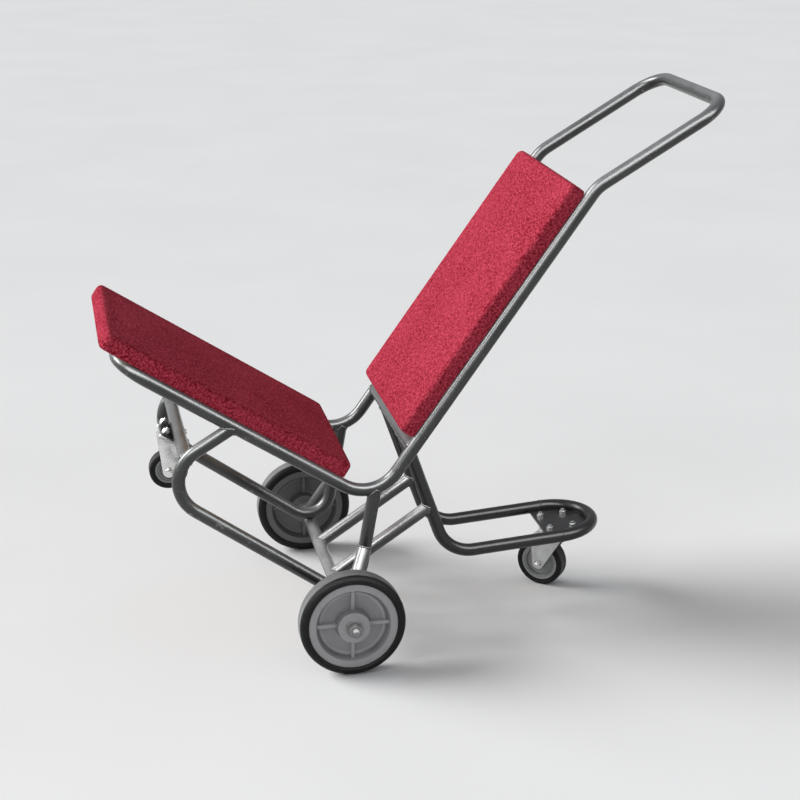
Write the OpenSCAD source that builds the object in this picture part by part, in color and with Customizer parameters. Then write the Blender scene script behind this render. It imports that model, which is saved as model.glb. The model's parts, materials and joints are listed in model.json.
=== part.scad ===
// Stacking chair trolley: a bent tube frame with a carpeted seat and back, two large wheels on a through axle,
// a swivel caster at the rear and a smaller one at the front.
// Millimetres, +Z up, +X towards the handle, -Y is the left side for someone who pushes the trolley.

/* [Frame] */
// Outside diameter of every frame tube
tube_d = 25; // [22:0.5:28]
// Wall of the frame tubes
tube_wall = 1.5; // [1:0.1:3]
// Distance between the centres of the two side rails
rail_gauge = 380; // [340:1:420]
// Distance from the axle back to the corner of seat and back
corner_back = 66; // [58:1:74]
// Height of the corner of seat and back above the axle
corner_up = 190; // [180:1:205]
// Bend radius of the side rails at the tube's centre
rail_bend = 75; // [65:1:85]
// Bend radius of the bows that close the rails
bow_bend = 60; // [48:1:72]
// Straight tail of each bow before its bend
bow_tail = 30; // [15:1:45]

/* [Seat] */
// Rise of the seat towards the front, degrees
seat_angle = 32.3; // [29:0.1:36]
// Length of the seat from its rear corner to the front bar
seat_length = 555; // [520:1:590]

/* [Back and handle] */
// Angle of the back above the floor, degrees
back_angle = 54.8; // [52:0.1:58]
// Length of the back from the corner to the handle's bend
back_length = 720; // [660:1:780]
// Rise of the handle above the floor, degrees
grip_angle = 31; // [26:0.5:36]
// Length of the handle from its bend to the handle bar
grip_length = 285; // [250:1:320]
// Distance from the corner up the back to the back cross tube
back_cross_at = 125; // [115:1:135]

/* [Lower loops] */
// Slope of the loops' lower run, degrees
lower_angle = 34.7; // [32:0.1:37]
// Lean of the loops' rear struts above the floor, degrees
strut_angle = 80.4; // [77:0.1:84]
// Slope of the loops' front legs, degrees
front_leg_angle = 31.6; // [29:0.1:34]
// Distance from the corner along the seat to the front legs
front_joint_at = 313; // [295:1:330]
// Bend radius at the front of the loops
loop_front_bend = 70; // [60:1:80]
// Bend radius at the rear of the loops, over the axle
loop_rear_bend = 50; // [42:1:58]
// Direction from the axle to the middle of the rear bend, degrees
loop_seat_angle = 97; // [92:0.5:102]
// Angle round the front bend at which the front cross tube sits, degrees
front_cross_angle = 20; // [15:1:26]
// Height of the outrigger's joint on the strut above the axle
brace_up = 100; // [88:1:112]
// Distance from the rail to the outrigger's foot on the axle tube
brace_out = 62; // [55:1:66]

/* [Rear frame] */
// Distance between the centres of the two rear arms
rear_gauge = 166; // [154:1:178]
// Slope of the rear legs below the level, degrees
rear_leg_angle = 70.4; // [67:0.1:74]
// Bend radius of the rear legs
rear_bend = 70; // [60:1:80]
// Distance from the axle back to the middle of the rear bow
rear_reach = 470; // [440:1:500]
// Distance from the middle of the rear bow back to the caster's swivel axis
rear_swivel_set = 12; // [6:1:18]
// Rise of the rear arms towards the rear, degrees
arm_angle = 4.7; // [0:0.1:6]
// Rise of the stays from the axle to the rear legs, degrees
stay_angle = 34; // [31:0.5:37]
// Height of the arms' centres above the middle of the caster mount plate
arm_over_plate = 6; // [4:0.5:8]
// Thickness of the caster mount plates
mount_plate_t = 4; // [3:0.5:6]
// Length of the rear mount plate in front of the bow's middle
rear_plate_ahead = 26; // [22:1:34]

/* [Large wheels] */
// Radius of the large wheels over the tyre
wheel_r = 100; // [95:1:105]
// Distance from a side rail's centre to the middle of its wheel
wheel_out = 115; // [108:1:125]
// Width of the tyre
tyre_w = 46; // [40:1:52]
// Radius at which the tyre sits on the core
core_r = 84; // [80:0.5:88]
// Width of the core's rim
rim_w = 40; // [34:1:46]
// Inner radius of the rim's flat face
rim_inner_r = 70; // [66:0.5:74]
// Thickness of the core's web
web_t = 10; // [8:0.5:14]
// Radius of the hub boss
hub_r = 32; // [28:0.5:36]
// Length of the hub
hub_l = 56; // [52:1:62]
// Width of the core's ribs
rib_w = 8; // [6:0.5:10]
// Number of ribs on each face of the core
rib_count = 4; // [3:1:8]
// Radius of the axle
axle_r = 8; // [7:0.25:9]
// Free thread of the axle outside each nut
axle_stub = 10; // [6:0.5:14]

/* [Rear caster] */
// Radius of the rear caster's wheel
rear_wheel_r = 50; // [46:0.5:52]
// Width of the rear caster's tyre
rear_tyre_w = 32; // [28:0.5:36]
// Height of the rear caster from the floor to its top plate
rear_height = 137; // [132:1:144]
// Offset of the rear caster's wheel from its swivel axis
rear_trail = 38; // [33:0.5:42]
// Angle of the rear caster's trail from +X, degrees
rear_turn_angle = 140; // [0:1:359]
// Length of the rear caster's top plate along X
rear_top_l = 70; // [64:1:76]
// Width of the rear caster's top plate along Y
rear_top_w = 95; // [88:1:104]
// Bolt spacing of the rear caster along X
rear_bolt_l = 48; // [44:1:52]
// Bolt spacing of the rear caster along Y
rear_bolt_w = 72; // [66:1:76]

/* [Front caster] */
// Radius of the front caster's wheel
front_wheel_r = 37.5; // [34:0.5:40]
// Width of the front caster's tyre
front_tyre_w = 28; // [24:0.5:32]
// Height of the front caster from its tread to its top plate
front_height = 100; // [96:1:106]
// Offset of the front caster's wheel from its swivel axis
front_trail = 30; // [26:0.5:34]
// Width of the front mount plate along the loops
front_plate_l = 64; // [60:1:70]
// Length of the front mount plate across the trolley
front_plate_w = 96; // [88:1:110]
// Length of the front caster's top plate along the loops
front_top_l = 60; // [56:1:64]
// Width of the front caster's top plate across the trolley
front_top_w = 80; // [74:1:86]
// Bolt spacing of the front caster along the loops
front_bolt_l = 44; // [42:0.5:46]
// Bolt spacing of the front caster across the trolley
front_bolt_w = 60; // [54:1:64]

/* [Pads] */
// Thickness of each pad from the rails to the top of its edge
pad_t = 30; // [26:1:36]
// Rise of each pad's crown above its edge
pad_crown = 4; // [2:0.5:8]
// Width of each pad
pad_w = 376; // [350:1:388]
// Corner radius of the pads seen from above
pad_corner = 16; // [10:1:24]
// Rounding of the pads' top edges
pad_edge = 9; // [6:0.5:12]
// Depth by which a pad's sides draw in between its corners
pad_draw = 2; // [0.5:0.5:4]
// Distance from the corner to the seat pad's rear end
seat_pad_start = 78; // [75:1:90]
// Reach of the seat pad beyond the front bar's centre
seat_pad_over = 43; // [30:1:50]
// Distance from the back pad's top down to the handle's bend
back_pad_below = 22; // [18:1:40]
// Thickness of the plywood boards
board_t = 12; // [9:1:15]
// Carpet and foam round the edge of each board
board_wrap = 6; // [4:0.5:9]

/* [Hidden] */
$fn = 64;

// Clearances and the overrun of cuts
weld_gap = 0.1;
seat_gap = 0.05;
run_gap = 0.05;
side_gap = 0.3;
overrun = 1;
// Loss of radius where a tube is bent
bend_thinning = 0.05;

// Colours
tube_colour = "dimgray";
zinc_colour = "silver";
core_colour = "gray";
tyre_colour = [0.06, 0.06, 0.06];
carpet_colour = "crimson";
plywood_colour = "burlywood";

// Sizes that follow the tube and the gauges
tube_r = tube_d / 2;
bore_r = tube_r - tube_wall;
half_gauge = rail_gauge / 2;
half_rear = rear_gauge / 2;
wheel_y = half_gauge + wheel_out;
rest_z = tube_r + weld_gap;

// Fasteners and plain parts of the large wheels
tyre_round = 7;
rim_slope = 6;
hub_taper = 2;
rib_under_rim = 7;
bush_r = 13;
bush_l = 18;
bush_flange_r = 17;
bush_flange_t = 2;
washer_r = 17;
washer_t = 3;
axle_nut_af = 24;
axle_nut_h = 13;
axle_tip = 1.5;
axle_end_step = 0.5;

// Plain parts of both casters
top_plate_t = 3;
plate_corner = 7;
ball_r = 2.5;
ball_gap = 0.15;
ball_ring_r = 15;
ball_count = 14;
race_inner_r = 18.5;
race_outer_r = 21;
race_h = 4.3;
kingpin_r = 6;
kingpin_flange_r = 10;
kingpin_flange_t = 4;
fork_t = 3;
fork_lead = 25;
fork_lead_h = 10;
fork_eye_r = 12;
fork_room = 3;
pin_r = 4;
pin_head_r = 7;
pin_head_t = 4;
sleeve_r = 6;
bolt_r = 4;
bolt_head_r = 8;
bolt_head_t = 3.5;
nut_af = 13;
nut_h = 6.5;
bolt_tail = 4;
caster_rubber = 11;
caster_round = 5;
caster_rim = 6;
caster_web_t = 6;
caster_hub_r = 12;
caster_rim_inset = 2;

// Lugs and screws of the pads
lug_l = 40;
lug_reach = 38;
lug_t = 3;
screw_r = 2.5;
screw_head_r = 5;
screw_head_h = 2.8;
screw_bite = 9;
screw_in = 20;
screw_shares = [0.28, 0.75];

// Facets of the pads
pad_corner_steps = 4;
pad_side_steps = 5;
pad_edge_steps = 4;
pad_tuck_share = 0.25;
pad_shoulder_share = 0.3;
pad_ring_shares = [0.12, 0.3, 0.55, 0.8];

// Geometry of lines in the side plane, where a point is [x, z] and an angle runs from +X towards +Z
function unit(a) = [cos(a), sin(a)];
function left_of(a) = [-sin(a), cos(a)];
function cross2(a, b) = a.x * b.y - a.y * b.x;
function meet(p, a, q, b) = p + unit(a) * cross2(q - p, unit(b)) / cross2(unit(a), unit(b));
function heading(p, q) = atan2(q.y - p.y, q.x - p.x);
function turn_of(p, q, s) = let (a = heading(q, s) - heading(p, q)) a - 360 * round(a / 360);
function trim(p, q, s, bend) = bend * tan(abs(turn_of(p, q, s)) / 2);
function bend_centre(p, a, b, bend) = p + bend * (left_of(a) + left_of(b)) / (1 + left_of(a) * left_of(b));
function first_on_circle(p, a, c, r) =
    let (along = (c - p) * unit(a), off = cross2(unit(a), c - p))
    p + unit(a) * (along - sqrt(r * r - off * off));
function in_space(p, y) = [p.x, y, p.y];

// Main points of the side view; the axle is set so that the whole trolley is centred on X = 0
bar_front = corner_back - seat_length * cos(seat_angle) - tube_r;
pad_front = corner_back + rest_z * sin(seat_angle)
    - (seat_length + seat_pad_over - pad_tuck_share * pad_edge) * cos(seat_angle);
front_end = min(bar_front, pad_front);
rear_end = corner_back + back_length * cos(back_angle) + grip_length * cos(grip_angle) + tube_r;
axle_at = [-(front_end + rear_end) / 2, wheel_r];
corner = axle_at + [corner_back, corner_up];
seat_way = 180 - seat_angle;
bow_reach = bow_bend + bow_tail;
seat_end = corner + (seat_length - bow_reach) * unit(seat_way);
back_top = corner + back_length * unit(back_angle);
grip_end = back_top + (grip_length - bow_reach) * unit(grip_angle);
rail_path = [seat_end, corner, back_top, grip_end];
rail_bends = [rail_bend, rail_bend];
rail_bend_at = bend_centre(corner, -seat_angle, back_angle, rail_bend);

// Lower loop: its rear bend rests on the axle tube
loop_rear_at = axle_at + (loop_rear_bend + tube_d + weld_gap) * unit(loop_seat_angle);
on_lower_run = loop_rear_at - loop_rear_bend * left_of(-lower_angle);
on_strut = loop_rear_at - loop_rear_bend * left_of(strut_angle);
loop_rear_corner = meet(on_lower_run, -lower_angle, on_strut, strut_angle);
front_joint = corner + front_joint_at * unit(seat_way);
front_leg_way = 180 + front_leg_angle;
loop_front_corner = meet(front_joint, front_leg_way, on_lower_run, -lower_angle);
strut_top = first_on_circle(loop_rear_corner, strut_angle, rail_bend_at, rail_bend);
loop_path = [front_joint, loop_front_corner, loop_rear_corner, strut_top];
loop_bends = [loop_front_bend, loop_rear_bend];
loop_front_at = bend_centre(loop_front_corner, front_leg_way, -lower_angle, loop_front_bend);
front_cross = loop_front_at - loop_front_bend * left_of(front_leg_way + front_cross_angle);
brace_rise = axle_at.y + brace_up - loop_rear_corner.y;
brace_joint = loop_rear_corner + unit(strut_angle) * brace_rise / sin(strut_angle);

// Rear frame: its arms rise to the rear, and its caster wheel rests on the floor
back_cross = corner + back_cross_at * unit(back_angle);
plate_drop = arm_over_plate + mount_plate_t / 2;
rear_wheel_tilt = abs(asin(sin(rear_turn_angle) * sin(arm_angle)));
rear_hub_z = caster_round + (rear_wheel_r - caster_round) * cos(rear_wheel_tilt)
    + (rear_tyre_w / 2 - caster_round) * sin(rear_wheel_tilt);
rear_hub_set = rear_swivel_set + rear_trail * cos(rear_turn_angle);
rear_bow_z = rear_hub_z - rear_hub_set * sin(arm_angle)
    + (plate_drop + rear_height - rear_wheel_r) * cos(arm_angle);
rear_bow_at = [axle_at.x + rear_reach, rear_bow_z];
rear_leg_corner = meet(back_cross, -rear_leg_angle, rear_bow_at, arm_angle);
rear_leg_path = [back_cross, rear_leg_corner, rear_bow_at];
stay_end = meet(back_cross, -rear_leg_angle, axle_at, stay_angle);

// Front caster: its mount plate lies under the front cross tube, square to the loops' lower run
front_up = 90 - lower_angle;
front_plate_at = front_cross - (tube_r + weld_gap + mount_plate_t) * unit(front_up);

// Large wheel stack along the axle
hub_half = hub_l / 2;
hub_end = hub_half + bush_flange_t + side_gap;
axle_tube_half = wheel_y - hub_end - washer_t;
nut_at = wheel_y + hub_end + washer_t;
axle_half = nut_at + axle_nut_h + axle_stub;

// Pads
seat_pad_l = seat_length + seat_pad_over - seat_pad_start;
back_pad_clear = 5.5;
back_pad_start = back_cross_at + tube_r + back_pad_clear;
back_pad_l = back_length - back_pad_below - back_pad_start;
board_corner = pad_corner - board_wrap / 2;

// Tubes

module straight_run(p, q, r) {
    translate([p.x, p.y, 0]) rotate([0, 0, heading(p, q)]) rotate([0, 90, 0]) cylinder(h = norm(q - p), r = r);
}

module bend_run(p, q, s, bend, r) {
    way = heading(p, q);
    turn = turn_of(p, q, s);
    start = q - trim(p, q, s, bend) * unit(way);
    middle = start + sign(turn) * bend * left_of(way);
    translate([middle.x, middle.y, 0]) rotate([0, 0, way - sign(turn) * 90 + min(turn, 0)])
        rotate_extrude(angle = abs(turn)) translate([bend, 0]) circle(r = r);
}

// A round bar of radius r along a flat path, with a slightly thinner bend at each inner point
module bent_bar(path, bends, r, ends = 0) {
    last = len(path) - 1;
    trims = [
        -ends,
        for (i = [1:last - 1]) trim(path[i - 1], path[i], path[i + 1], bends[i - 1]) - overrun,
        -ends];
    for (i = [0:last - 1]) {
        way = unit(heading(path[i], path[i + 1]));
        straight_run(path[i] + trims[i] * way, path[i + 1] - trims[i + 1] * way, r);
    }
    for (i = [1:last - 1]) bend_run(path[i - 1], path[i], path[i + 1], bends[i - 1], r - bend_thinning);
}

module bent_tube(path, bends) {
    difference() {
        bent_bar(path, bends, tube_r);
        bent_bar(path, bends, bore_r, overrun);
    }
}

module in_side_plane(y) {
    translate([0, y, 0]) rotate([90, 0, 0]) children();
}

// A round bar between two points in space
module bar_between(p, q, r, ends = 0) {
    d = q - p;
    translate(p) rotate([0, acos(d.z / norm(d)), atan2(d.y, d.x)]) translate([0, 0, -ends])
        cylinder(h = norm(d) + 2 * ends, r = r);
}

module tube_between(p, q) {
    difference() {
        bar_between(p, q, tube_r);
        bar_between(p, q, bore_r, overrun);
    }
}

// Solid outlines of tubes, used to cut the saddles of the tubes that are welded to them
module rail_cut(y) {
    in_side_plane(y) bent_bar(rail_path, rail_bends, tube_r + weld_gap);
}

module loop_cut(y) {
    in_side_plane(y) bent_bar(loop_path, loop_bends, tube_r + weld_gap);
}

module rear_leg_cut(y) {
    in_side_plane(y) bent_bar(rear_leg_path, [rear_bend], tube_r + weld_gap);
}

module cross_cut(p) {
    bar_between(in_space(p, -half_gauge), in_space(p, half_gauge), tube_r + weld_gap);
}

module axle_tube_cut() {
    bar_between(in_space(axle_at, -axle_tube_half), in_space(axle_at, axle_tube_half), tube_r + weld_gap);
}

module side_rail(side) {
    color(tube_colour) in_side_plane(side * half_gauge) bent_tube(rail_path, rail_bends);
}

module bow(start, way) {
    bow_path = [[0, -half_gauge], [bow_reach, -half_gauge], [bow_reach, half_gauge], [0, half_gauge]];
    color(tube_colour) translate(in_space(start, 0)) rotate([0, -way, 0])
        bent_tube(bow_path, [bow_bend, bow_bend]);
}

module lower_loop(side) {
    color(tube_colour) difference() {
        in_side_plane(side * half_gauge) bent_tube(loop_path, loop_bends);
        rail_cut(side * half_gauge);
    }
}

module front_cross_tube() {
    color(tube_colour) difference() {
        tube_between(in_space(front_cross, -half_gauge), in_space(front_cross, half_gauge));
        for (side = [-1, 1]) loop_cut(side * half_gauge);
    }
}

module back_cross_tube() {
    color(tube_colour) difference() {
        tube_between(in_space(back_cross, -half_gauge), in_space(back_cross, half_gauge));
        for (side = [-1, 1]) rail_cut(side * half_gauge);
    }
}

module axle_tube() {
    color(tube_colour) difference() {
        bar_between(in_space(axle_at, -axle_tube_half), in_space(axle_at, axle_tube_half), tube_r);
        axle_bore();
    }
}

module axle_bore() {
    bar_between(in_space(axle_at, -axle_half), in_space(axle_at, axle_half), axle_r + seat_gap);
}

module outrigger(side) {
    joint = in_space(brace_joint, side * half_gauge);
    foot = in_space(axle_at, side * (half_gauge + brace_out));
    color(tube_colour) difference() {
        tube_between(joint, foot);
        loop_cut(side * half_gauge);
        axle_tube_cut();
    }
}

module stay(side) {
    color(tube_colour) difference() {
        tube_between(in_space(axle_at, side * half_rear), in_space(stay_end, side * half_rear));
        axle_tube_cut();
        rear_leg_cut(side * half_rear);
    }
}

module rear_leg(side) {
    color(tube_colour) difference() {
        in_side_plane(side * half_rear) bent_tube(rear_leg_path, [rear_bend]);
        cross_cut(back_cross);
    }
}

module half_ring(r) {
    translate(in_space(rear_bow_at, 0)) rotate([0, -arm_angle, 0]) rotate([0, 0, -90])
        rotate_extrude(angle = 180) translate([half_rear, 0]) circle(r = r);
}

module rear_bow() {
    color(tube_colour) difference() {
        half_ring(tube_r);
        half_ring(bore_r);
    }
}

// Mount plates of the casters

// A flat sheet with round corners, from X = 0 and centred across Y
module rounded_sheet(l, w, r) {
    translate([0, r - w / 2]) square([l, w - 2 * r]);
    translate([r, -w / 2]) square([l - 2 * r, w]);
    for (x = [r, l - r], y = [r - w / 2, w / 2 - r]) translate([x, y]) circle(r = r);
}

module bolt_places(l, w) {
    for (x = [-1, 1], y = [-1, 1]) translate([x * l / 2, y * w / 2, 0]) children();
}

module bolt_holes(l, w) {
    bolt_places(l, w) translate([0, 0, -overrun])
        cylinder(h = mount_plate_t + 2 * overrun, r = bolt_r + seat_gap);
}

module at_rear_plate() {
    translate(in_space(rear_bow_at, 0)) rotate([0, -arm_angle, 0]) translate([0, 0, -plate_drop]) children();
}

module rear_mount_plate() {
    color(tube_colour) difference() {
        at_rear_plate() linear_extrude(mount_plate_t) union() {
            circle(r = half_rear);
            translate([-rear_plate_ahead, -half_rear]) square([rear_plate_ahead, rear_gauge]);
        }
        at_rear_plate() translate([-half_rear - rear_plate_ahead, -half_rear, -overrun])
            cube([half_rear, rear_gauge, mount_plate_t + 2 * overrun]);
        for (side = [-1, 1]) rear_leg_cut(side * half_rear);
        half_ring(tube_r + weld_gap);
        at_rear_caster() bolt_holes(rear_bolt_l, rear_bolt_w);
    }
}

module at_front_plate() {
    translate(in_space(front_plate_at, 0)) rotate([0, lower_angle, 0]) children();
}

module front_mount_plate() {
    color(tube_colour) at_front_plate() difference() {
        translate([-front_plate_l / 2, 0, 0]) linear_extrude(mount_plate_t)
            rounded_sheet(front_plate_l, front_plate_w, plate_corner);
        bolt_holes(front_bolt_l, front_bolt_w);
    }
}

// Pads: the local frame has X along the rails from the pad's low-X end, and Z out of the pad's face

module on_seat() {
    translate(in_space(corner, 0)) rotate([0, seat_angle, 0])
        translate([-seat_pad_start - seat_pad_l, 0, 0]) children();
}

module on_back() {
    translate(in_space(corner, 0)) rotate([0, -back_angle, 0]) translate([back_pad_start, 0, 0]) children();
}

module screw_places(l) {
    for (share = screw_shares, side = [-1, 1])
        translate([share * l, side * (half_gauge - tube_r - screw_in), 0]) children();
}

module lugs(l) {
    for (share = screw_shares, side = [-1, 1]) difference() {
        translate([share * l - lug_l / 2, side * (half_gauge - lug_reach / 2) - lug_reach / 2, tube_r - lug_t])
            cube([lug_l, lug_reach, lug_t]);
        translate([share * l - lug_l, side * half_gauge, 0]) rotate([0, 90, 0])
            cylinder(h = 2 * lug_l, r = tube_r + weld_gap);
        translate([share * l - lug_l, side * (half_gauge + lug_reach / 2) - lug_reach / 2, 0])
            cube([2 * lug_l, lug_reach, tube_d]);
        translate([share * l, side * (half_gauge - tube_r - screw_in), 0])
            cylinder(h = tube_d, r = screw_r + seat_gap);
    }
}

module board(l) {
    difference() {
        translate([board_wrap, 0, rest_z]) linear_extrude(board_t)
            rounded_sheet(l - 2 * board_wrap, pad_w - 2 * board_wrap, board_corner);
        screw_places(l) translate([0, 0, tube_r - lug_t])
            cylinder(h = lug_t + weld_gap + screw_bite, r = screw_r + seat_gap);
    }
}

module screws(l) {
    screw_places(l) {
        translate([0, 0, tube_r - lug_t - screw_head_h]) cylinder(h = screw_head_h, r = screw_head_r);
        translate([0, 0, tube_r - lug_t]) cylinder(h = lug_t + screw_bite, r = screw_r);
    }
}

// One ring of a pad: a rounded rectangle whose straight sides draw in between the corners
function pad_ring(half_l, half_w, round_r, z, draw) = [
    for (q = [0:3])
        let (
            signs = [[1, 1], [-1, 1], [-1, -1], [1, -1]],
            here = [signs[q].x * (half_l - round_r), signs[q].y * (half_w - round_r)],
            next = [signs[(q + 1) % 4].x * (half_l - round_r), signs[(q + 1) % 4].y * (half_w - round_r)],
            out = unit(90 * (q + 1)))
        each concat(
            [for (j = [0:pad_corner_steps]) concat(here + round_r * unit(90 * (q + j / pad_corner_steps)), z)],
            [
                for (k = [1:pad_side_steps])
                    let (t = k / (pad_side_steps + 1))
                    concat(here + t * (next - here) + (round_r - draw * sin(180 * t)) * out, z)
            ])];

// Rings of a pad from its board's recess, round its sides and over its crown
function pad_rings(l, w) =
    let (half_l = l / 2, half_w = w / 2, recess = board_wrap - seat_gap, ceiling = board_t + seat_gap)
    concat(
        [
            pad_ring(half_l - recess, half_w - recess, pad_corner - recess, ceiling, 0),
            pad_ring(half_l - recess, half_w - recess, pad_corner - recess, 0, 0),
            pad_ring(
                half_l - pad_tuck_share * pad_edge, half_w - pad_tuck_share * pad_edge,
                pad_corner - pad_tuck_share * pad_edge, 0, pad_draw),
            pad_ring(half_l, half_w, pad_corner, pad_shoulder_share * pad_t, pad_draw)
        ],
        [
            for (k = [0:pad_edge_steps])
                let (a = 90 * k / pad_edge_steps, inset = pad_edge * (1 - cos(a)))
                pad_ring(
                    half_l - inset, half_w - inset, pad_corner - inset,
                    pad_t - pad_edge + pad_edge * sin(a), pad_draw)
        ],
        [
            for (s = pad_ring_shares)
                pad_ring(
                    (half_l - pad_edge) * (1 - s), (half_w - pad_edge) * (1 - s),
                    (pad_corner - pad_edge) * (1 - s),
                    pad_t + pad_crown * (1 - pow(1 - s, 2)), pad_draw * (1 - s))
        ]);

module pad(l) {
    rings = pad_rings(l, pad_w);
    per_ring = len(rings[0]);
    last = len(rings) - 1;
    points = concat([for (ring = rings) each ring], [[0, 0, board_t + seat_gap], [0, 0, pad_t + pad_crown]]);
    under = len(points) - 2;
    over = len(points) - 1;
    sides = [
        for (i = [0:last - 1], j = [0:per_ring - 1])
            let (a = i * per_ring + j, b = i * per_ring + (j + 1) % per_ring)
            each [[a, a + per_ring, b + per_ring], [a, b + per_ring, b]]];
    caps = [
        for (j = [0:per_ring - 1])
            let (k = (j + 1) % per_ring)
            each [[under, j, k], [last * per_ring + j, over, last * per_ring + k]]];
    translate([l / 2, 0, rest_z]) polyhedron(points = points, faces = concat(sides, caps));
}

// Large wheels: the local frame has its axis along Z

module at_wheel(side) {
    translate(in_space(axle_at, side * wheel_y)) rotate([90, 0, 0]) children();
}

// Half of a tyre's outline, from its seat out to the tread, with round shoulders
module tyre_outline(inner_r, outer_r, width, shoulder) {
    translate([inner_r, -width / 2]) square([outer_r - shoulder - inner_r, width]);
    translate([inner_r, shoulder - width / 2]) square([outer_r - inner_r, width - 2 * shoulder]);
    for (side = [-1, 1]) translate([outer_r - shoulder, side * (width / 2 - shoulder)]) circle(r = shoulder);
}

module wheel_tyre(side) {
    color(tyre_colour) at_wheel(side) rotate_extrude()
        tyre_outline(core_r + seat_gap, wheel_r, tyre_w, tyre_round);
}

module wheel_core(side) {
    rim_half = rim_w / 2;
    web_half = web_t / 2;
    rib_half = rim_half - rib_under_rim;
    web_r = rim_inner_r - rim_slope;
    color(core_colour) at_wheel(side) difference() {
        union() {
            rotate_extrude() polygon([
                [bush_r, -hub_half], [hub_r - hub_taper, -hub_half], [hub_r, -web_half], [web_r, -web_half],
                [rim_inner_r, -rim_half], [core_r, -rim_half], [core_r, rim_half], [rim_inner_r, rim_half],
                [web_r, web_half], [hub_r, web_half], [hub_r - hub_taper, hub_half], [bush_r, hub_half]]);
            for (i = [0:rib_count - 1]) rotate([0, 0, 360 * i / rib_count])
                translate([hub_r - hub_taper - rib_w / 2, -rib_w / 2, -rib_half])
                    cube([rim_inner_r - hub_r + hub_taper + rib_w / 2, rib_w, 2 * rib_half]);
        }
        cylinder(h = hub_l + 2 * overrun, r = bush_r, center = true);
    }
}

module hub_bushes(side) {
    color(zinc_colour) at_wheel(side) for (end = [0, 1]) mirror([0, 0, end]) difference() {
        union() {
            translate([0, 0, hub_half - bush_l]) cylinder(h = bush_l, r = bush_r - seat_gap);
            translate([0, 0, hub_half]) cylinder(h = bush_flange_t, r = bush_flange_r);
        }
        translate([0, 0, hub_half - bush_l - overrun])
            cylinder(h = bush_l + bush_flange_t + 2 * overrun, r = axle_r + run_gap);
    }
}

// The axle's ends are turned down outside the nuts and chamfered
module axle() {
    shoulder = axle_half - axle_stub;
    end_r = axle_r - axle_end_step;
    color(zinc_colour) {
        bar_between(in_space(axle_at, -shoulder), in_space(axle_at, shoulder), axle_r);
        for (side = [-1, 1]) translate(in_space(axle_at, side * shoulder)) rotate([-side * 90, 0, 0]) {
            cylinder(h = axle_stub - axle_tip, r = end_r);
            translate([0, 0, axle_stub - axle_tip]) cylinder(h = axle_tip, r1 = end_r, r2 = end_r - axle_tip);
        }
    }
}

module ring_on_axle(y, h, r, sides = $fn) {
    difference() {
        translate(in_space(axle_at, y)) rotate([-90, 0, 0]) cylinder(h = h, r = r, $fn = sides);
        axle_bore();
    }
}

module hub_washers() {
    color(zinc_colour) for (y = [-wheel_y, wheel_y], end = [-hub_end - washer_t, hub_end])
        ring_on_axle(y + end, washer_t, washer_r);
}

module axle_nuts() {
    color(zinc_colour) for (y = [-nut_at - axle_nut_h, nut_at])
        ring_on_axle(y, axle_nut_h, axle_nut_af / 2 / cos(30), 6);
}

// Casters: the local frame has its origin on the swivel axis at the top of the top plate and Z up the kingpin.
// The wheel trails along X.

fork_top = -(top_plate_t + 2 * ball_r + 2 * ball_gap);
fork_inner = fork_top - fork_t;

module at_rear_caster() {
    at_rear_plate() translate([rear_swivel_set, 0, 0]) children();
}

module at_front_caster() {
    at_front_plate() children();
}

module at_rear_swivel() {
    at_rear_caster() rotate([0, 0, rear_turn_angle]) children();
}

module top_plate(l, w, bolt_l, bolt_w) {
    color(zinc_colour) difference() {
        translate([-l / 2, 0, -top_plate_t]) linear_extrude(top_plate_t) rounded_sheet(l, w, plate_corner);
        bolt_places(bolt_l, bolt_w) translate([0, 0, -top_plate_t - overrun])
            cylinder(h = top_plate_t + 2 * overrun, r = bolt_r + seat_gap);
        translate([0, 0, -top_plate_t - overrun])
            cylinder(h = top_plate_t + 2 * overrun, r = kingpin_r + seat_gap);
    }
}

module plate_bolts(l, w) {
    color(zinc_colour) bolt_places(l, w) {
        translate([0, 0, -top_plate_t - bolt_head_t]) cylinder(h = bolt_head_t, r = bolt_head_r);
        translate([0, 0, -top_plate_t])
            cylinder(h = top_plate_t + mount_plate_t + nut_h + bolt_tail, r = bolt_r);
    }
}

module plate_nuts(l, w) {
    color(zinc_colour) bolt_places(l, w) translate([0, 0, mount_plate_t]) difference() {
        cylinder(h = nut_h, r = nut_af / 2 / cos(30), $fn = 6);
        translate([0, 0, -overrun]) cylinder(h = nut_h + 2 * overrun, r = bolt_r + seat_gap);
    }
}

module race() {
    color(zinc_colour) translate([0, 0, -top_plate_t - race_h]) difference() {
        cylinder(h = race_h, r = race_outer_r);
        translate([0, 0, -overrun]) cylinder(h = race_h + 2 * overrun, r = race_inner_r);
    }
}

module balls() {
    color(zinc_colour) for (i = [0:ball_count - 1]) rotate([0, 0, 360 * i / ball_count])
        translate([ball_ring_r, 0, -top_plate_t - ball_gap - ball_r]) sphere(r = ball_r);
}

module kingpin() {
    shank = -fork_inner + side_gap;
    color(zinc_colour) {
        translate([0, 0, -shank]) cylinder(h = shank, r = kingpin_r);
        translate([0, 0, -shank - kingpin_flange_t]) cylinder(h = kingpin_flange_t, r = kingpin_flange_r);
    }
}

function fork_half(width) = width / 2 + fork_room;

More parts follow.
